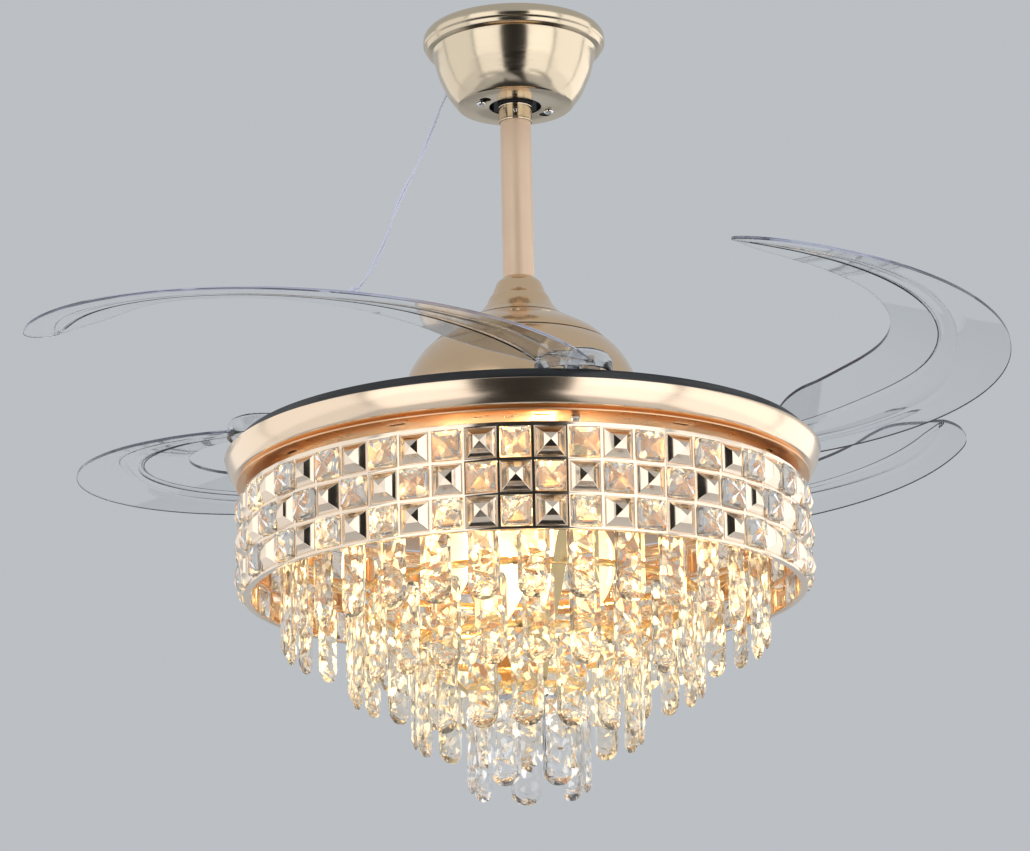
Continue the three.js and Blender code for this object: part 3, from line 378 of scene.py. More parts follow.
canopy_gold = surface("canopy_gold", (0.71, 0.59, 0.43), 0.17, 1.0, (40, 40, 700), 0.000006)
satin_gold = surface("satin_gold", (0.78, 0.56, 0.39), 0.50, 0.35, (60, 60, 60), 0.00001,
                     coat=0.4)
dome_gold = surface("dome_gold", (0.76, 0.54, 0.33), 0.20, 0.80, (60, 60, 60), 0.00001,
                    roughness_swing=0.04, coat=0.4)
rose_gold = surface("rose_gold", (0.94, 0.74, 0.55), 0.17, 1.0, (4, 4, 1500), 0.000004,
                    roughness_swing=0.05, shade_swing=0.03)
drum_gold = surface("drum_gold", (0.92, 0.76, 0.60), 0.13, 1.0, (90, 90, 90), 0.00001)
copper = surface("copper", (0.92, 0.58, 0.33), 0.30, 1.0, (60, 60, 60), 0.00001)
frame_gold = surface("frame_gold", (0.95, 0.72, 0.38), 0.18, 1.0, (120, 120, 120), 0.00001)
# Near-black steel for the hidden ceiling bracket: painted shade inside the canopy
painted_shade_steel = surface("painted_shade_steel", (0.03, 0.03, 0.03), 0.45, 0.6, (200, 200, 200), 0.00001)
steel = surface("steel", (0.60, 0.61, 0.62), 0.34, 1.0, (40, 400, 400), 0.00001)
chrome = surface("chrome", (0.82, 0.82, 0.83), 0.10, 1.0, (200, 200, 200), 0.000004)
rubber = surface("ball_rubber", (0.022, 0.022, 0.023), 0.55, 0.0, (500, 500, 500), 0.00003)
# Black satin for the blade disc; also painted shade inside the canopy and under the pan
black_and_shade = surface("black_satin_and_shade", (0.016, 0.017, 0.020), 0.38, 0.0, (400, 400, 400), 0.00002,
                coat=0.2)
winding = surface("winding", (0.45, 0.20, 0.09), 0.42, 0.7, (30, 30, 900), 0.0002)
magnet = surface("magnet", (0.10, 0.10, 0.11), 0.6, 0.4, (200, 200, 200), 0.00004)
porcelain = surface("lampholder", (0.86, 0.82, 0.74), 0.4, 0.0, (90, 90, 90), 0.00002, coat=0.3)
clear_blade = surface("clear_blade", (0.97, 0.975, 0.985), 0.02, 0.0, (40, 40, 40), 0.000006,
                      roughness_swing=0.01, shade_swing=0.01, transmission=1.0, ior=1.49)
blade_rim = surface("blade_rim", (0.66, 0.67, 0.84), 0.06, 0.0, (60, 60, 60), 0.00001,
                    roughness_swing=0.04, shade_swing=0.05, transmission=0.85, ior=1.49)
crystal = surface("crystal", (1.0, 0.98, 0.95), 0.01, 0.0, (90, 90, 40), 0.00004,
                  roughness_swing=0.01, shade_swing=0.02, transmission=0.92, ior=1.52)
pendant_glass = surface("pendant_glass", (1.0, 0.97, 0.91), 0.01, 0.0, (90, 90, 40), 0.00004,
                        roughness_swing=0.01, shade_swing=0.02, transmission=0.95, ior=1.50)
clear_glass = surface("clear_glass", (0.99, 0.99, 1.0), 0.01, 0.0, (90, 90, 40), 0.00004,
                      roughness_swing=0.01, shade_swing=0.01, transmission=0.96, ior=1.50)
bulb_glow = surface("bulb_glow", (1.0, 0.86, 0.62), 0.3, 0.0, (60, 60, 60), 0.0,
                    glow=(1.0, 0.62, 0.28), glow_strength=1.6)
filament_glow = surface("filament_glow", (1.0, 0.86, 0.62), 0.3, 0.0, (60, 60, 60), 0.0,
                        glow=(1.0, 0.74, 0.40), glow_strength=140.0)
wire_white = surface("wire_white", (0.72, 0.74, 0.88), 0.5, 0.0, (90, 90, 90), 0.000004)
wire_lilac = surface("wire_lilac", (0.58, 0.60, 0.82), 0.5, 0.0, (90, 90, 90), 0.000004)

# Painted glints: colours, size and height falloff of glowing spots that stand in for sparkle in
# the glass
gold_glint = (1.0, 0.72, 0.36)
white_glint = (1.0, 0.96, 0.90)
glint_scale = (210, 210, 150)
glint_low_share = 0.25
glint_from = 0.80
glint_power = 3
glint_low = -0.625
glint_high = -0.515


def painted_glints(material, glint_colour, glint_strength):
    """Adds painted glints: small glowing spots, stronger higher up as painted light from the
    bulbs, for the light caught inside cut glass.
    """
    nodes, links = material.node_tree.nodes, material.node_tree.links
    shader = with_inputs(nodes["Principled BSDF"], {"Emission Color": (*glint_colour, 1)})
    place = nodes.new("ShaderNodeTexCoord")
    stretch = with_inputs(nodes.new("ShaderNodeMapping"), {"Scale": glint_scale})
    cells = with_inputs(nodes.new("ShaderNodeTexVoronoi"), {"Scale": 1.0})
    chosen = with_inputs(nodes.new("ShaderNodeMapRange"),
                         {"From Min": glint_from, "From Max": 1.0})
    parts = nodes.new("ShaderNodeSeparateXYZ")
    shares = nodes.new("ShaderNodeSeparateXYZ")
    # Painted light: the glints grow stronger towards the bulbs above
    rising = with_inputs(nodes.new("ShaderNodeMapRange"), {
        "From Min": glint_low,
        "From Max": glint_high,
        "To Min": glint_strength * glint_low_share,
        "To Max": glint_strength,
    })
    sharp = nodes.new("ShaderNodeMath")
    sharp.operation = "POWER"
    with_inputs(sharp, {1: glint_power})
    strength = nodes.new("ShaderNodeMath")
    strength.operation = "MULTIPLY"
    links.new(place.outputs["Object"], stretch.inputs["Vector"])
    links.new(stretch.outputs["Vector"], cells.inputs["Vector"])
    links.new(cells.outputs["Color"], shares.inputs["Vector"])
    links.new(shares.outputs["X"], chosen.inputs["Value"])
    links.new(place.outputs["Object"], parts.inputs["Vector"])
    links.new(parts.outputs["Z"], rising.inputs["Value"])
    links.new(chosen.outputs["Result"], sharp.inputs[0])
    links.new(sharp.outputs["Value"], strength.inputs[0])
    links.new(rising.outputs["Result"], strength.inputs[1])
    links.new(strength.outputs["Value"], shader.inputs["Emission Strength"])


# Painted glints on the pendants, the lowest ring and the drum crystals
painted_glints(pendant_glass, gold_glint, 2.8)
painted_glints(clear_glass, white_glint, 2.4)
painted_glints(crystal, gold_glint, 0.9)

kept_nodes = {
    # The bracket's near-black is painted shade seen through the canopy's hole
    "ceiling_bracket": painted_shade_steel,
    "hanger_pin": steel,
    "coupling_pin": steel,
    "motor_shaft": steel,
    "stator": winding,
    "magnet_ring": magnet,
    "bearing_upper": steel,
    "bearing_lower": steel,
    "lamp_nut": steel,
    "wire_cap_1": wire_white,
    "wire_cap_2": wire_white,
}
for name, finish in kept_nodes.items():
    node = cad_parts[name]
    node.data.materials.clear()
    node.data.materials.append(finish)


# Camera

ahead = Vector((math.sin(camera_yaw) * math.cos(camera_pitch),
                math.cos(camera_yaw) * math.cos(camera_pitch), math.sin(camera_pitch)))
level = Vector((math.cos(camera_yaw), -math.sin(camera_yaw), 0))
upward = level.cross(ahead)
right = math.cos(camera_roll) * level + math.sin(camera_roll) * upward
above = math.cos(camera_roll) * upward - math.sin(camera_roll) * level
lens = bpy.data.cameras.new("camera")
lens.sensor_width = 36.0
lens.lens = camera_lens
lens.clip_end = 50.0
camera = bpy.data.objects.new("camera", lens)
camera.matrix_world = Matrix((
    (right.x, above.x, -ahead.x, camera_place[0]),
    (right.y, above.y, -ahead.y, camera_place[1]),
    (right.z, above.z, -ahead.z, camera_place[2]),
    (0, 0, 0, 1),
))
scene.collection.objects.link(camera)
scene.camera = camera


# Supply cord: two insulated wires twisted round each other, each in a closed wire cap

wire_radius = 0.00095
wire_twist = 0.115
cord_route = [
    (-0.0525, 0.0282, -0.0320), (-0.0550, 0.0295, -0.0352), (-0.0579, 0.0310, -0.0389),
    (-0.0612, 0.0323, -0.0445), (-0.0645, 0.0328, -0.0520), (-0.0680, 0.0326, -0.0615),
    (-0.0725, 0.0318, -0.0740), (-0.0790, 0.0310, -0.0920), (-0.0855, 0.0305, -0.1060),
    (-0.0920, 0.0302, -0.1190), (-0.0980, 0.0300, -0.1315), (-0.1035, 0.0300, -0.1445),
    (-0.1085, 0.0300, -0.1585), (-0.1135, 0.0300, -0.1725), (-0.1190, 0.0300, -0.1860),
    (-0.1250, 0.0300, -0.1980), (-0.1320, 0.0300, -0.2095), (-0.1390, 0.0300, -0.2180),
]


def smooth_path(points, steps=5):
    """More points on a smooth line through the given ones."""
    marks = [(i, Vector(p)) for i, p in enumerate(points)]
    path = []
    for i in range((len(points) - 1) * steps + 1):
        at = i / steps
        path.append(Vector([smooth_value([(m, p[axis]) for m, p in marks], at)
                            for axis in range(3)]))
    return path


def wire_lines(path):
    """The two wires' centrelines, turning round the cord's own line."""
    lines = [[], []]
    gone = 0.0
    for i, point in enumerate(path):
        ahead_point = path[min(i + 1, len(path) - 1)]
        behind = path[max(i - 1, 0)]
        along = (ahead_point - behind).normalized()
        side = along.cross(Vector((0, 1, 0))).normalized()
        front = along.cross(side)
        if i:
            gone += (point - path[i - 1]).length
        angle = 2 * math.pi * gone / wire_twist
        offset = wire_radius * (math.cos(angle) * side + math.sin(angle) * front)
        lines[0].append(point + offset)
        lines[1].append(point - offset)
    return lines


def tube_mesh(name, lines, radius):
    """Round tubes along several lines, as one mesh."""
    curve = bpy.data.curves.new(name, "CURVE")
    curve.dimensions = "3D"
    curve.bevel_depth = radius
    curve.bevel_resolution = 3
    curve.use_fill_caps = True
    for number, line in enumerate(lines):
        spline = curve.splines.new("POLY")
        spline.points.add(len(line) - 1)
        spline.material_index = number
        for point, place in zip(spline.points, line):
            point.co = (*place, 1)
    thing = bpy.data.objects.new(name, curve)
    scene.collection.objects.link(thing)
    graph = bpy.context.evaluated_depsgraph_get()
    mesh = bpy.data.meshes.new_from_object(thing.evaluated_get(graph))
    bpy.data.objects.remove(thing)
    bpy.data.curves.remove(curve)
    return mesh


cord_path = smooth_path(cord_route)
wires = wire_lines(cord_path)
cord_mesh = tube_mesh("cord", wires, wire_radius)
cord = bpy.data.objects.new("supply_cord_pair", cord_mesh)
scene.collection.objects.link(cord)
cord_mesh.materials.clear()
cord_mesh.materials.append(wire_white)
cord_mesh.materials.append(wire_lilac)
shaded(cord_mesh, 60)
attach(cord, "mounting")
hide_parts("supply_cord")


# Canopy

canopy_profile = [
    (canopy_flange - 0.003, 0, 0.0006),
    (canopy_flange - 0.0004, -0.0035, 0.001),
    (canopy_flange, -0.0075, 0.0012),
    (canopy_flange - 0.0003, -0.0112, 0.0008),
    (canopy_flange - 0.0024, -0.0124, 0.0005),
    (canopy_flange - 0.0030, -0.0156, 0.0008),
    (canopy_flange - 0.0062, -0.0170, 0.0008),
    (canopy_side, -0.0172, 0.0008),
    (0.0688, -0.0252, 0.003),
    (0.0655, -0.0380, 0.004),
    (0.0577, -0.0553, 0.005),
    (canopy_bottom, -canopy_depth, 0.0016),
    (canopy_hole, -canopy_depth, 0.0003),
    (canopy_hole, -canopy_depth + canopy_wall, 0.0003),
    (canopy_bottom - canopy_wall, -canopy_depth + canopy_wall, 0.001),
    (0.0562, -0.0548, 0.004),
    (0.0640, -0.0376, 0.004),
    (0.0673, -0.0252, 0.003),
    (0.0690, -0.0170, 0.001),
    (0.0735, -0.0155, 0.001),
    (0.0760, -0.0090, 0.001),
    (0.0740, 0, 0.0004),
]
canopy_body = lathe(canopy_profile, 128)
keyhole_low = -0.070
keyhole_high = -0.060
keyholes = bmesh.new()
for angle in keyhole_angles:
    narrow = prism(keyhole_narrow, keyhole_low, keyhole_high, 24)
    head = prism(keyhole_wide, keyhole_low, keyhole_high, 32)
    bmesh.ops.translate(head, vec=(0, keyhole_length, 0), verts=head.verts)
    neck = bar((2 * keyhole_narrow, keyhole_length, keyhole_high - keyhole_low),
               (0, keyhole_length / 2, (keyhole_low + keyhole_high) / 2))
    tool = carved(carved(narrow, head, "UNION"), neck, "UNION")
    repeated(tool, [about(angle, keyhole_radius)], into=keyholes)
cord_exit = Vector(cord_route[2])
cord_way = (Vector(cord_route[3]) - Vector(cord_route[1])).to_track_quat("Z", "Y")
cord_hole = repeated(prism(cord_hole_radius, low=-0.006, high=0.006, sides=24),
                     [Matrix.Translation(cord_exit) @ cord_way.to_matrix().to_4x4()])
canopy_body = carved(canopy_body, joined(keyholes, cord_hole))
bmesh.ops.recalc_face_normals(canopy_body, faces=canopy_body.faces)
# Inward and upward faces inside the cup get the black finish: painted shade for the dark inside
# of the canopy
well_turned = 0.5
for face in canopy_body.faces:
    middle = face.calc_center_median()
    facing_in = face.normal.xy.dot(middle.xy.normalized()) < -well_turned
    facing_up = face.normal.z > well_turned and middle.z < rod_top
    if facing_in or facing_up:
        face.material_index = 1
piece("canopy_cup", canopy_body, [canopy_gold, black_and_shade], "mounting", ["canopy"], 28)


def cross_screw(radius, top, height, recess):
    """A domed screw head with a cross recess, facing down."""
    head = lathe([
        (0, top, 0),
        (radius, top, 0.0002),
        (radius, top - height * 0.35, 0.0005),
        (radius * 0.72, top - height * 0.85, 0.0005),
        (0, top - height, 0),
    ], 32, closed=False)
    across = bar((recess * 2, recess * 0.5, height), (0, 0, top - height))
    along = bar((recess * 0.5, recess * 2, height), (0, 0, top - height))
    return carved(head, carved(across, along, "UNION"))


for number, angle in enumerate(keyhole_angles, 1):
    head = cross_screw(radius=0.0042, top=-canopy_depth - 0.0003, height=0.0024, recess=0.0022)
    shank = prism(radius=0.0020, low=-canopy_depth - 0.0010, high=-canopy_depth + 0.012,
                  sides=20, chamfer=0.0003)
    thread = threads(radius=0.0019, thickness=0.00025, lowest=-canopy_depth + 0.0016,
                     pitch=0.0009, count=11)
    screw = repeated(joined(head, shank, *thread), [about(angle, keyhole_radius)])
    piece(f"canopy_screw_head_{number}", screw, chrome, "mounting",
          [f"canopy_screw_{number}"], 25)


# Hanger ball, downrod and collar

ball_profile = []
ball_steps = 14
ball_limit = math.asin(ball_cut / ball_radius)
for i in range(ball_steps + 1):
    angle = -ball_limit + 2 * ball_limit * i / ball_steps
    ball_profile.append((ball_radius * math.cos(angle),
                         ball_radius * math.sin(angle) - ball_drop,
                         0.0006 if i in (0, ball_steps) else 0))
ball_profile += [
    (0.0166, ball_cut - ball_drop, 0.0006),
    (0.0137, -ball_drop, 0.002),
    (0.0166, -ball_cut - ball_drop, 0.0006),
]
pin_gap = 0.0003
low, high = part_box("hanger_pin")
pin_room = prism((high.z - low.z) / 2 + pin_gap, low.x - pin_gap, high.x + pin_gap, 32)
along_pin = Matrix.Translation((0, 0, -ball_drop)) @ Matrix.Rotation(math.pi / 2, 4, "Y")
ball_shape = carved(lathe(ball_profile, 64), repeated(pin_room, [along_pin]))
piece("ball_moulding", ball_shape, rubber, "ball", ["hanger_ball"])

rod_profile = [
    (rod_bore, rod_bottom, 0.0003),
    (rod_radius, rod_bottom, 0.0004),
    (rod_radius, rod_top, 0.0004),
    (rod_bore, rod_top, 0.0003),
]
piece("downrod_tube", lathe(rod_profile, 64), satin_gold, "hung", ["downrod"])

collar_profile = [
    (0.0137, -0.0812, 0.0001),
    (0.0146, -0.0812, 0.0003),
    (0.0146, -0.0800, 0.0002),
    (0.0143, -0.0796, 0.0002),
    (0.0143, -0.0680, 0.0002),
    (0.0146, -0.0676, 0.0002),
    (0.0146, -0.0662, 0.0003),
    (0.0137, -0.0662, 0.0001),
]
piece("collar_sleeve", lathe(collar_profile, 64), canopy_gold, "hung", ["rod_collar"])

grommet_profile = [
    (0.0135, -0.0658, 0.0002),
    (0.0150, -0.0658, 0.0004),
    (0.0150, -0.0612, 0.0004),
    (0.0135, -0.0606, 0.0002),
]
piece("rod_grommet", lathe(grommet_profile, 64), rubber, "hung", ())

low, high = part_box("collar_screw")
grub = prism(radius=0.0016, low=-0.0012, high=0.0010, sides=24, chamfer=0.0002)
grub = carved(grub, prism(radius=0.0008, low=-0.0030, high=-0.0004, sides=6))
turn_front = Matrix.Rotation(-math.pi / 2, 4, "X")
grub = repeated(grub, [Matrix.Translation((low + high) / 2) @ turn_front])
piece("collar_grub_screw", grub, chrome, "hung", ["collar_screw"])


# Coupling cover and vented hood

bell_outside = [
    (0.0142, -0.2215, 0.0006),
    (0.0191, -0.2259, 0.0016),
    (0.0230, -0.2362, 0.003),
    (0.0257, -0.2395, 0.003),
    (0.0283, -0.2461, 0.003),
    (0.0355, -0.2545, 0.003),
    (0.0410, -0.2582, 0.0004),
]
bell_inside = [
    (0.0398, -0.2582, 0.0003),
    (0.0340, -0.2549, 0.003),
    (0.0268, -0.2468, 0.003),
    (0.0242, -0.2402, 0.003),
    (0.0215, -0.2366, 0.003),
    (0.0178, -0.2274, 0.002),
    (0.0137, -0.2240, 0.0005),
    (0.0137, -0.2215, 0.0003),
]
piece("coupling_bell", lathe(bell_outside + bell_inside, 96), dome_gold, "hung",
      ["coupling_cover"], 40)

hood_outside = [
    (0.0190, hood_top, 0.0003),
    (0.0415, hood_top, 0.002),
    (0.0605, -0.2688, 0.005),
    (0.0688, -0.2748, 0.004),
    (0.0760, hood_bottom, 0.0006),
]
hood_inside = [
    (0.0744, hood_bottom, 0.0004),
    (0.0672, -0.2756, 0.004),
    (0.0589, -0.2696, 0.005),
    (0.0405, -0.2601, 0.002),
    (0.0190, -0.2601, 0.0003),
]
vent_tool = bar(vent_size, centre=(0, 0, -0.268), chamfer=0.0019, segments=3)
vents = repeated(vent_tool, around(vent_count, vent_phase, vent_radius))
hood = carved(lathe(hood_outside + hood_inside, 128), vents)
piece("vented_hood", hood, dome_gold, "hung", ["top_cover"], 28)


# Turning shell, blade disc and pivot posts

shell_outside = [
    (0.0120, shell_top, 0.0003),
    (0.0775, shell_top, 0.0015),
    (0.0841, -0.2900, 0.004),
    (0.0937, -0.3039, 0.007),
    (0.1000, -0.3223, 0.010),
    (0.1020, shell_bottom, 0.0004),
]
shell_inside = [
    (0.1000, shell_bottom, 0.0004),
    (0.0980, -0.3228, 0.009),
    (0.0917, -0.3046, 0.006),
    (0.0821, -0.2904, 0.003),
    (0.0760, -0.2860, 0.001),
    (0.0201, -0.2860, 0.0004),
    (0.0201, -0.2946, 0.0004),
    (0.0164, -0.2946, 0.0004),
    (0.0164, -0.2863, 0.0003),
    (0.0120, -0.2863, 0.0003),
]
piece("shell_dome", lathe(shell_outside + shell_inside, 128), dome_gold, "rotor",
      ["rotor_shell"], 40)

disc_profile = [
    (0.0120, disc_top, 0.0003),
    (disc_radius - 0.006, disc_top, 0.0004),
    (disc_radius - 0.0055, disc_top - 0.0006, 0.0002),
    (disc_radius - 0.0046, disc_top - 0.0006, 0.0002),
    (disc_radius - 0.0040, disc_top, 0.0004),
    (disc_radius, disc_top, 0.0014),
    (disc_radius, disc_top - 0.009, 0.0006),
    (disc_radius - 0.003, disc_top - 0.009, 0.0006),
    (disc_radius - 0.003, disc_top - 0.0025, 0.0004),
    (0.0201, disc_top - 0.0025, 0.0004),
    (0.0201, disc_top - 0.0105, 0.0004),
    (0.0164, disc_top - 0.0105, 0.0004),
    (0.0164, disc_top - 0.0025, 0.0003),
    (0.0120, disc_top - 0.0025, 0.0003),
]
pivot_places = [about(pivot_angle - 90 * k, pivot_radius) for k in range(4)]
holes = repeated(prism(pivot_hole, low=-0.40, high=-0.36, sides=32), pivot_places)
disc = carved(lathe(disc_profile, 160), holes)
piece("blade_disc_plate", disc, black_and_shade, "rotor", ["blade_disc"], 28)

for number, place in enumerate(pivot_places, 1):
    low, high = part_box(f"pivot_post_{number}")
    post = lathe([
        (0, low.z, 0),
        (post_foot, low.z, 0.0006),
        (post_foot, low.z + 0.0025, 0.0004),
        (post_radius, low.z + 0.0025, 0.0003),
        (post_radius, high.z, 0.0008),
        (0, high.z, 0),
    ], 40, closed=False)
    post = carved(post, prism(radius=0.0022, low=high.z - 0.002, high=high.z + 0.01, sides=6))
    post = repeated(post, [place])
    piece(f"pivot_bolt_{number}", post, steel, "rotor", [f"pivot_post_{number}"], 28)


# Clear folding blades

blade_steps = 120
blade_thickness = 0.0026
blade_inner_shares = [
    (0, 0.79), (8, 0.64), (17, 0.57), (28, 0.552), (40, 0.546), (52, 0.556), (65, 0.575),
    (78, 0.592), (91, 0.606), (104, 0.617), (117, 0.626), (130, 0.633), (142, 0.641),
    (150, 0.667), (155, 0.71), (159, 0.78), (162, 0.854),
]
blade_rib = [(0, 0.795), (30, 0.745), (60, 0.755), (110, 0.775), (150, 0.815), (162, 0.853)]
blade_second_rib = [(0, 0.90), (46, 0.879), (71, 0.817), (87, 0.817), (119, 0.854),
                    (138, 0.871), (162, 0.854)]
blade_tip_start = 150
blade_tip_end = 162
blade_tip_radius = 0.205
blade_tip_crowding = 1.35
blade_root_height = -0.3666
blade_rise = 0.01015
blade_curl = 0.00247
blade_slope = 0.22
blade_narrowing = 0.00104
rib_half_width = 0.0022
rib_crest_share = 0.35
rib_lift = 0.0009
rib_full_room = 0.03
second_rib_share = 0.6
boss_reach = 0.0325
boss_profile = [
    (0, 0.0142, 0),
    (0.0100, 0.0142, 0.001),
    (0.0120, 0.0167, 0.001),
    (0.0270, 0.0167, 0.002),
    (0.0310, 0.0128, 0.003),
    (0.0310, 0.0006, 0.0004),
    (0.0286, 0.0006, 0.0004),
    (0.0286, 0.0120, 0.002),
    (0.0260, 0.0143, 0.001),
    (0.0128, 0.0143, 0.0005),
    (0.0110, 0.0132, 0.0004),
    (0.0078, 0.0132, 0.0004),
    (0.0078, 0.0006, 0.0003),
    (pivot_hole, 0.0006, 0.0003),
    (pivot_hole, 0.0132, 0.0002),
    (0, 0.0132, 0),
]


def blade_point(degrees, radius, lift):
    """A point lifted off the blade's middle sheet, with the blade's pivot on the axis."""
    angle = math.radians(degrees)
    height = (blade_root_height + blade_rise * angle + blade_curl * angle * angle
              + blade_slope * (disc_radius - radius))
    return Vector((radius * math.cos(angle) - pivot_radius, -radius * math.sin(angle),
                   height + lift))


def blade_stations(degrees):
    """The radii and lifts of the points across the blade: edges, ribs and clear panels."""
    angle = math.radians(degrees)
    outer = disc_radius - blade_narrowing * angle * angle
    past = max(0, degrees - blade_tip_start) / (blade_tip_end - blade_tip_start)
    outer = blade_tip_radius + (outer - blade_tip_radius) * math.sqrt(max(0, 1 - past * past))
    inner = min(disc_radius * smooth_value(blade_inner_shares, degrees), outer)
    rib = min(max(disc_radius * smooth_value(blade_rib, degrees), inner), outer)
    second = min(max(disc_radius * smooth_value(blade_second_rib, degrees), rib), outer)
    room = min(1, (outer - inner) / rib_full_room)
    half = rib_half_width * room
    rows = []
    for start, end in ((inner, rib - half), (rib + half, second - half), (second + half, outer)):
        rows += [(start + (end - start) * i / 4, 0.0) for i in range(5)]
    crest = half * rib_crest_share
    lift = rib_lift * room
    for middle, up in ((rib, lift), (second, lift * second_rib_share)):
        rows += [(middle - crest, up), (middle + crest, up)]
    return sorted((min(max(r, inner), outer), up) for r, up in rows)


def blade_sheet():
    """The blade's sheet with its ribs, given its thickness downwards."""
    across = len(blade_stations(60)) - 1
    bm = bmesh.new()
    bmesh.ops.create_grid(bm, x_segments=blade_steps, y_segments=across, size=0.5)
    for vert in bm.verts:
        step = round((vert.co.x + 0.5) * blade_steps)
        station = round((vert.co.y + 0.5) * across)
        share = step / blade_steps
        degrees = blade_tip_end * (1 - (1 - share) ** blade_tip_crowding) if share > 0 else 0
        radius, lift = blade_stations(degrees)[station]
        vert.co = blade_point(degrees, radius, lift + blade_thickness / 2)
    bmesh.ops.remove_doubles(bm, verts=bm.verts, dist=1e-5)
    made = bmesh.ops.extrude_face_region(bm, geom=bm.faces[:])
    lower = extruded(made, bmesh.types.BMVert)
    bmesh.ops.translate(bm, vec=(0, 0, -blade_thickness), verts=lower)
    return bm


# The boss is a thin-walled clear cup over a pivot, with a hub round the post
blade_boss = lathe([(radius, disc_top + height, rounding)
                    for radius, height, rounding in boss_profile], 64, closed=False)
blade_shape = carved(blade_sheet(), blade_boss, "UNION")
blade_bore = prism(radius=0.00515, low=disc_top + 0.0010, high=disc_top + 0.0130, sides=48)
blade_shape = carved(blade_shape, blade_bore)
for face in blade_shape.faces:
    middle = face.calc_center_median()
    if abs(face.normal.z) < 0.5 and math.hypot(middle.x, middle.y) > boss_reach:
        face.material_index = 1
blade_bodies = ("blade_a", "blade_b", "blade_c", "blade_d")
turned_open = Matrix.Rotation(math.radians(open_angle), 4, "Z")
for number, (place, body) in enumerate(zip(pivot_places, blade_bodies), 1):
    shape = repeated(blade_shape.copy(), [place @ turned_open])
    piece(f"clear_blade_{number}", shape, [clear_blade, blade_rim], body,
          [f"blade_{number}"], 30, turned_out=False)
blade_shape.free()


# Lamp pan, plate and drum posts

pan_profile = [
    (plate_bore, -0.4020, 0.0003),
    (plate_bore, -0.4005, 0.0003),
    (0.2335, -0.4005, 0.0005),
    (0.2405, -0.3990, 0.001),
    (0.2485, pan_top, 0.0003),
    (pan_radius, pan_top, 0.0005),
    (0.2472, -0.3899, 0.004),
    (0.2422, -0.3990, 0.0012),
    (0.2340, -0.4020, 0.0012),
]
pan = lathe(pan_profile, 192)
bmesh.ops.recalc_face_normals(pan, faces=pan.faces)
# Downward faces of the pan's underside get the black finish: painted shade behind the plate's
# slots
for face in pan.faces:
    middle = face.calc_center_median()
    if face.normal.z < -0.9 and math.hypot(middle.x, middle.y) < pan_dark_radius:
        face.material_index = 1
piece("pan_band", pan, [rose_gold, black_and_shade], "hung", ["lamp_pan"], 35)

plate_profile = [
    (plate_bore, plate_bottom, 0.0002),
    (plate_radius, plate_bottom, 0.0004),
    (plate_radius, plate_top, 0.0004),
    (plate_bore, plate_top, 0.0002),
]
slot_tool = bar(plate_slot_size, centre=(0, 0, plate_top), chamfer=0.0005)
slots = repeated(slot_tool, around(plate_slot_count, plate_slot_phase, plate_slot_radius))
plate = carved(lathe(plate_profile, 192), slots)
piece("copper_plate", plate, copper, "hung", ["lamp_plate"], 28)

for number in range(1, 5):
    low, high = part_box(f"drum_post_{number}")
    shank = prism(radius=0.0025, low=low.z, high=high.z, sides=24, chamfer=0.0003)
    nut = prism(radius=0.0040, low=high.z - 0.0028, high=high.z - 0.0004, sides=6,
                chamfer=0.0003)
    thread = threads(radius=0.00245, thickness=0.0002, lowest=low.z + 0.0006, pitch=0.0008,
                     count=5)
    post = repeated(joined(shank, nut, *thread),
                    [Matrix.Translation(((low.x + high.x) / 2, (low.y + high.y) / 2, 0))])
    piece(f"drum_stud_{number}", post, steel, "hung", [f"drum_post_{number}"], 28)


# Drum: a chequer of embossed pyramids and square windows for the crystals

facet_radius = drum_radius * math.cos(math.pi / drum_columns)
cell_pitch = 2 * drum_radius * math.sin(math.pi / drum_columns)
row_heights = [drum_row_first - drum_row_pitch * row for row in range(drum_rows)]
groove_steps = ((0.0004, -0.0009), (0.0008, 0.0), (0.0002, 0.0008))
pyramid_ring = 0.0021
pyramid_slopes = (0.50, 0.62, 0.76, 0.92)
pyramid_tip = 0.0019


def cell_places(row, for_crystals, radius):
    """The places of one row's cells that hold crystals, or of those that don't."""
    places = around(drum_columns, drum_phase, radius, row_heights[row])
    return [place for column, place in enumerate(places)
            if ((row + column) % 2 == 0) == for_crystals]


def drum_cell(window):
    """One cell of the wall, facing outward along X, its middle at the origin."""
    bm = bmesh.new()
    bmesh.ops.create_grid(bm, x_segments=1, y_segments=1, size=0.5)
    turn_square(bm, "Y")
    bmesh.ops.scale(bm, vec=(1, cell_pitch, drum_row_pitch), verts=bm.verts)
    face = next(iter(bm.faces))
    if face.normal.x < 0:
        face.normal_flip()
    inset_face(bm, face, [((cell_pitch - cell_size) / 2, 0)])
    if window:
        bmesh.ops.delete(bm, geom=[face], context="FACES_ONLY")
        return bm
    inset_face(bm, face, groove_steps)
    inset_face(bm, face, [(pyramid_ring, pyramid_ring * slope) for slope in pyramid_slopes])
    bmesh.ops.poke(bm, faces=[face], offset=pyramid_tip)
    return bm


wall = bmesh.new()
for window in (True, False):
    places = [p for row in range(drum_rows) for p in cell_places(row, window, facet_radius)]
    repeated(drum_cell(window), places, into=wall)
bmesh.ops.remove_doubles(wall, verts=wall.verts, dist=0.00002)
wall_high = row_heights[0] + drum_row_pitch / 2
wall_low = row_heights[-1] - drum_row_pitch / 2
level_edges = [e for e in wall.edges if e.is_boundary
               and abs(e.verts[0].co.z - e.verts[1].co.z) < 1e-5]
upper = [e for e in level_edges if abs(e.verts[0].co.z - wall_high) < 1e-4]
lower = [e for e in level_edges if abs(e.verts[0].co.z - wall_low) < 1e-4]


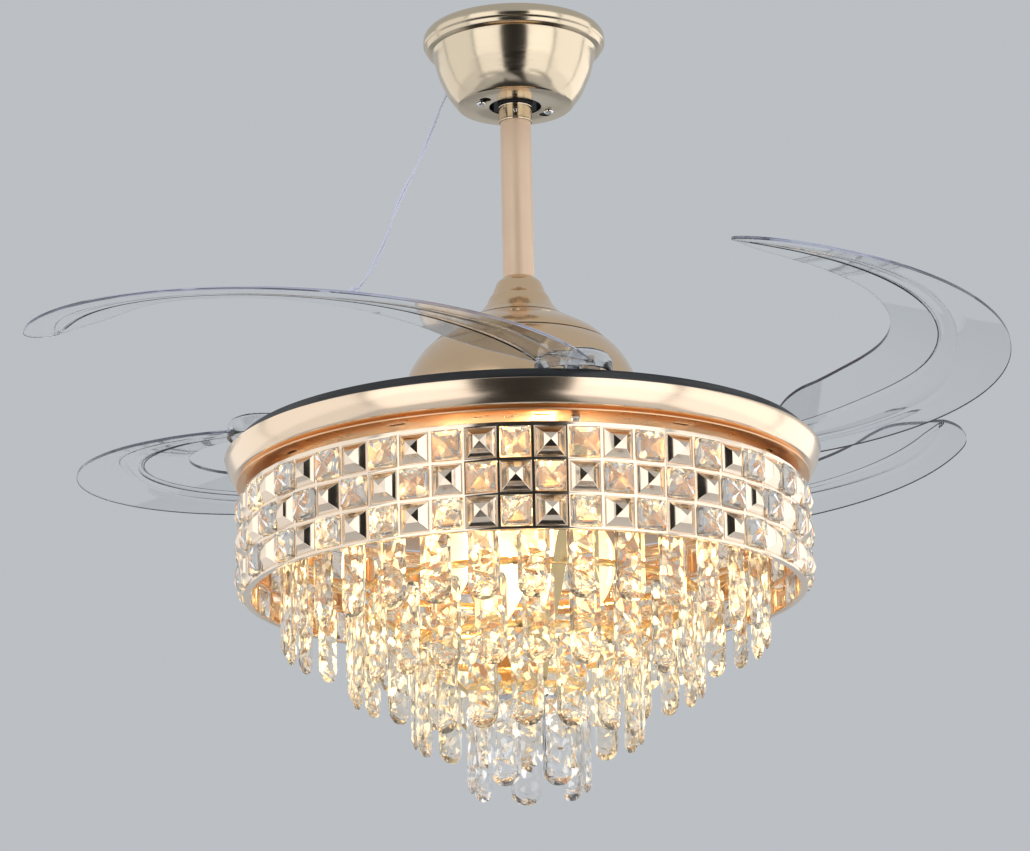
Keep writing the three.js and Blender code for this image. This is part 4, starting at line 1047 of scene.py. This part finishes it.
def flanged(bm, edges, height, width):
    """Carries a wall's edge to a height and turns it inward as a flange."""
    made = bmesh.ops.extrude_edge_only(bm, edges=edges)
    for vert in extruded(made, bmesh.types.BMVert):
        vert.co.z = height
    made = bmesh.ops.extrude_edge_only(bm, edges=extruded(made, bmesh.types.BMEdge))
    share = 1 - width / drum_radius
    bmesh.ops.scale(bm, vec=(share, share, 1), verts=extruded(made, bmesh.types.BMVert))


flanged(wall, upper, drum_top, drum_top_flange)
flanged(wall, lower, drum_bottom, drum_bottom_flange)
bmesh.ops.recalc_face_normals(wall, faces=wall.faces)
drum = piece("drum_wall", wall, drum_gold, "hung", ["drum"], 24)
shell_wall = drum.modifiers.new("wall", "SOLIDIFY")
shell_wall.thickness = drum_thickness
shell_wall.offset = -1.0
eased = drum.modifiers.new("eased", "BEVEL")
eased.width = edge_easing
eased.segments = 2
eased.limit_method = "ANGLE"
eased.angle_limit = math.radians(40)


crystal_gap = 0.0003
crystal_depth = 0.0050
crystal_corner = 0.0014
crystal_front_steps = ((0.0014, 0.0012), (0.0048, 0.0016))
crystal_front_tip = 0.0014
crystal_back_steps = ((0.0050, 0.0018),)
crystal_back_tip = 0.0012
crystal_rear = -0.0035
crystal_proud = 0.0010


def through_edges(bm):
    """The edges that run through a slab's thickness."""
    return [e for e in bm.edges if abs(e.verts[0].co.x - e.verts[1].co.x) > 0.001]


def cut_crystal():
    """A square crystal with clipped corners, a table in front and an uneven pointed back."""
    half = cell_size / 2 - crystal_gap
    bm = bar((crystal_depth, 2 * half, 2 * half))
    ease_edges(bm, through_edges(bm), crystal_corner, 1)
    front = max(bm.faces, key=lambda f: f.calc_center_median().x)
    back = min(bm.faces, key=lambda f: f.calc_center_median().x)
    inset_face(bm, front, crystal_front_steps)
    bmesh.ops.poke(bm, faces=[front], offset=crystal_front_tip)
    inset_face(bm, back, crystal_back_steps)
    bmesh.ops.poke(bm, faces=[back], offset=crystal_back_tip)
    for vert in bm.verts:
        if vert.co.x < crystal_rear:
            vert.co.y *= 0.94 if vert.co.z > 0 else 1.06
            vert.co.z += 0.0007 if vert.co.y > 0 else -0.0005
    return bm


for row in range(drum_rows):
    crystals = repeated(cut_crystal(), cell_places(row, True, facet_radius + crystal_proud))
    piece(f"drum_crystals_{row + 1}", crystals, crystal, "hung", [f"crystal_row_{row + 1}"],
          5)


# Tiers: gold bands on bent struts, each with its ring of pendants

band_half = 0.0008
band_rounding = 0.0003
strut_width = 0.012
strut_thickness = 0.0015
strut_wall = 0.2298
strut_corner = 1.2


def tier_height(tier):
    return tier_first - tier_step * tier


frame_shape = bmesh.new()
for tier, radius in enumerate(tier_radii):
    top = tier_height(tier)
    band = lathe([
        (radius - band_half, top - band_height, band_rounding),
        (radius + band_half, top - band_height, band_rounding),
        (radius + band_half, top, band_rounding),
        (radius - band_half, top, band_rounding),
    ], 96)
    frame_shape = joined(frame_shape, band)
strut_line = [(strut_wall, -0.4304), (strut_wall, -0.4400)]
strut_line += [(radius, tier_height(tier) - band_height / 2)
               for tier, radius in enumerate(tier_radii)]


def bent_strut():
    """A flat strip bent through the middle of every band, its outer end up along the wall."""
    bm = bmesh.new()
    line = [bm.verts.new((radius, -strut_width / 2, height)) for radius, height in strut_line]
    for pair in zip(line, line[1:]):
        bm.edges.new(pair)
    made = bmesh.ops.extrude_edge_only(bm, edges=bm.edges[:])
    moved = extruded(made, bmesh.types.BMVert)
    bmesh.ops.translate(bm, vec=(0, strut_width, 0), verts=moved)
    bmesh.ops.solidify(bm, geom=bm.faces[:], thickness=strut_thickness)
    rims = [e for e in bm.edges if e.is_manifold and e.calc_face_angle(0) > strut_corner]
    ease_edges(bm, rims, edge_easing, 2)
    return bm


frame_shape = repeated(bent_strut(), around(4, strut_phase), into=frame_shape)


def hook_rings():
    """Two thin wire rings that carry one pendant, one in the radial plane, one across it."""
    rings = []
    for radius, shift, axis in ((0.0026, 0.0006, "X"), (0.0020, -0.0046, "Y")):
        wire = ring(radius, thickness=0.0004, steps=14, sides=6)
        turn_square(wire, axis)
        bmesh.ops.translate(wire, vec=(0, 0, -band_height + shift), verts=wire.verts)
        rings.append(wire)
    return joined(*rings)


def pendant_places(tier):
    """Where the pendants of one tier hang."""
    return around(tier_counts[tier], tier_phases[tier], tier_radii[tier], tier_height(tier))


for tier in range(len(tier_counts)):
    frame_shape = repeated(hook_rings(), pendant_places(tier), into=frame_shape)
piece("tier_bands", frame_shape, frame_gold, "hung", ["tier_frame"], 30)

pendant_width = 0.0258
pendant_rim = 0.0012
pendant_top = -0.0108
pendant_bottom = -0.0868
pendant_foot = pendant_width * 0.485
pendant_shoulder = 0.0066
pendant_bevel = (0.0048, 0.0025)
pendant_table = pendant_rim / 2 + 0.0024
pendant_table_rise = 0.0008
pendant_cuts = (
    (-0.0270, 26, 12),
    (-0.0450, -24, -10),
    (-0.0590, 22, 12),
    (-0.0690, -26, -14),
    (-0.0775, 14, 10),
)


def pendant_bar():
    """A flat bar of crystal with a round foot, thin rim, wide bevels and cross-cut tables."""
    length = pendant_top - pendant_bottom
    bm = bar((pendant_rim, pendant_width, length), (0, 0, (pendant_top + pendant_bottom) / 2))
    foot = [e for e in through_edges(bm) if e.verts[0].co.z < pendant_bottom + 0.001]
    ease_edges(bm, foot, pendant_foot, 6)
    head = [e for e in through_edges(bm) if e.verts[0].co.z > pendant_top - 0.001]
    ease_edges(bm, head, pendant_shoulder, 2)
    for side in [f for f in bm.faces if abs(f.normal.x) > 0.9]:
        inset_face(bm, side, [pendant_bevel])
    for height, tilt, lean in pendant_cuts:
        normal = Vector((0, 0, 1))
        normal.rotate(Matrix.Rotation(math.radians(tilt), 3, "X"))
        normal.rotate(Matrix.Rotation(math.radians(lean), 3, "Y"))
        bmesh.ops.bisect_plane(bm, geom=bm.verts[:] + bm.edges[:] + bm.faces[:],
                               plane_co=(0, 0, height), plane_no=normal)
    # Hand-cut unevenness of the tables
    for vert in bm.verts:
        if abs(vert.co.x) > pendant_table:
            vert.co.y += 0.0004 * math.sin(5100 * vert.co.z + 900 * vert.co.x)
            vert.co.x *= 1 + 0.08 * math.sin(3700 * vert.co.z + 300 * vert.co.y)
    tables = [f for f in bm.faces if abs(f.calc_center_median().x) > pendant_table * 0.95]
    bmesh.ops.poke(bm, faces=tables, offset=pendant_table_rise)
    bmesh.ops.triangulate(bm, faces=[f for f in bm.faces if len(f.verts) > 3])
    return bm


for tier in range(len(tier_counts)):
    pendants = repeated(pendant_bar(), pendant_places(tier))
    glass = clear_glass if tier == len(tier_counts) - 1 else pendant_glass
    piece(f"pendant_ring_{tier + 1}", pendants, glass, "hung",
          [f"tier_crystals_{tier + 1}"], 3)


# Lampholders and lit candle bulbs

holder_top = -0.4041
holder_bottom = -0.4381
bulb_bottom = -0.5054
bulb_profile = [
    (0, -0.4096, 0),
    (0.0068, -0.4096, 0.0004),
    (0.0068, -0.4384, 0.001),
    (0.0082, -0.4400, 0.001),
    (0.0140, -0.4489, 0.006),
    (0.0175, -0.4625, 0.008),
    (0.0151, -0.4799, 0.008),
    (0.0084, -0.4960, 0.006),
    (0.0012, bulb_bottom, 0.0006),
    (0, bulb_bottom, 0),
]
holder_profile = [
    (0, holder_top, 0),
    (0.0178, holder_top, 0.0006),
    (0.0178, holder_top - 0.003, 0.0008),
    (0.0135, holder_top - 0.0034, 0.0006),
    (0.0135, holder_bottom + 0.006, 0.0003),
    (0.0129, holder_bottom + 0.0055, 0.0003),
    (0.0129, holder_bottom, 0.0008),
    (0.0074, holder_bottom, 0.0006),
    (0.0074, -0.4090, 0.0004),
    (0, -0.4090, 0),
]
filament_top = -0.4500
filament_bottom = -0.4880
bulb_columns = 48
filament_count = 6


def candle_bulb():
    """A frosted candle bulb with bright upright filament lines."""
    bulb = lathe(bulb_profile, bulb_columns, closed=False)
    for face in bulb.faces:
        middle = face.calc_center_median()
        turn = math.degrees(math.atan2(middle.y, middle.x))
        in_line = math.floor(turn / (360 / bulb_columns)) % (bulb_columns // filament_count) == 0
        if filament_bottom < middle.z < filament_top and in_line:
            face.material_index = 1
    return bulb


for number, place in enumerate(around(4, lamp_phase, lamp_radius), 1):
    holder = repeated(lathe(holder_profile, 48, closed=False), [place])
    piece(f"candle_holder_{number}", holder, porcelain, "hung", [f"lamp_socket_{number}"])
    piece(f"candle_bulb_{number}", repeated(candle_bulb(), [place]), [bulb_glow, filament_glow],
          "hung", [f"bulb_{number}"], 45)


# Floor, dark cards and lights

stage_roughness = 0.8


def stage_plane(name, size, place, turned, colour):
    """A plane beside the part, seen from its front side only."""
    bm = bmesh.new()
    bmesh.ops.create_grid(bm, x_segments=1, y_segments=1, size=0.5)
    bmesh.ops.scale(bm, vec=(*size, 1), verts=bm.verts)
    thing = new_object(name, bm)
    thing.matrix_world = Matrix.Translation(place) @ turned
    material = bpy.data.materials.new(name)
    material.use_nodes = True
    nodes, links = material.node_tree.nodes, material.node_tree.links
    shader = with_inputs(nodes["Principled BSDF"],
                         {"Base Color": (*colour, 1), "Roughness": stage_roughness})
    clear = nodes.new("ShaderNodeBsdfTransparent")
    seen_from = nodes.new("ShaderNodeNewGeometry")
    mixed = nodes.new("ShaderNodeMixShader")
    links.new(seen_from.outputs["Backfacing"], mixed.inputs["Fac"])
    links.new(shader.outputs["BSDF"], mixed.inputs[1])
    links.new(clear.outputs["BSDF"], mixed.inputs[2])
    links.new(mixed.outputs["Shader"], nodes["Material Output"].inputs["Surface"])
    thing.data.materials.append(material)
    return thing


floor_colour = (0.62, 0.63, 0.65)
card_colour = (0.010, 0.009, 0.008)
room_colour = (0.50, 0.525, 0.55)
lying_flat = Matrix.Identity(4)
facing_back = Matrix.Rotation(math.radians(-90), 4, "X")
stage_plane("floor", (12, 12), (0, 0, -2.4), lying_flat, floor_colour)
dark_card = stage_plane("dark_card", (2.4, 3.4), (0.05, -3.5, -0.7), facing_back, card_colour)
dark_floor = stage_plane("dark_floor", (1.5, 2.6), (0.05, -2.2, -2.38), lying_flat, card_colour)
for card in (dark_card, dark_floor):
    card.visible_camera = False
    card.visible_diffuse = False
    card.visible_transmission = False
    card.visible_shadow = False


light_aim = Vector((0, 0, -0.4))


def softbox(name, place, width, height, watts, seen_in_gloss=True):
    light = bpy.data.lights.new(name, "AREA")
    light.shape = "RECTANGLE"
    light.size = width
    light.size_y = height
    light.energy = watts
    thing = bpy.data.objects.new(name, light)
    thing.location = place
    thing.rotation_mode = "QUATERNION"
    thing.rotation_quaternion = (light_aim - Vector(place)).to_track_quat("-Z", "Y")
    thing.visible_camera = False
    thing.visible_glossy = seen_in_gloss
    thing.visible_transmission = False
    scene.collection.objects.link(thing)


softbox("front_left_box", (-1.60, -2.05, -0.6), 1.8, 3.4, 16)
softbox("front_right_box", (1.60, -2.05, -0.6), 1.8, 3.4, 19)
softbox("left_box", (-2.60, -0.20, -0.6), 2.4, 3.4, 12)
softbox("right_box", (2.60, -0.20, -0.6), 2.4, 3.4, 21)
softbox("rear_left_box", (-2.3, 1.9, -0.9), 1.8, 3.0, 8)
softbox("rear_right_box", (2.3, 1.9, -0.9), 1.8, 3.0, 15)
softbox("rear_box", (0.4, 2.6, 0.6), 2.0, 1.2, 8, seen_in_gloss=False)

world = bpy.data.worlds.new("room")
scene.world = world
world.use_nodes = True
with_inputs(world.node_tree.nodes["Background"], {"Color": (*room_colour, 1), "Strength": 1.0})
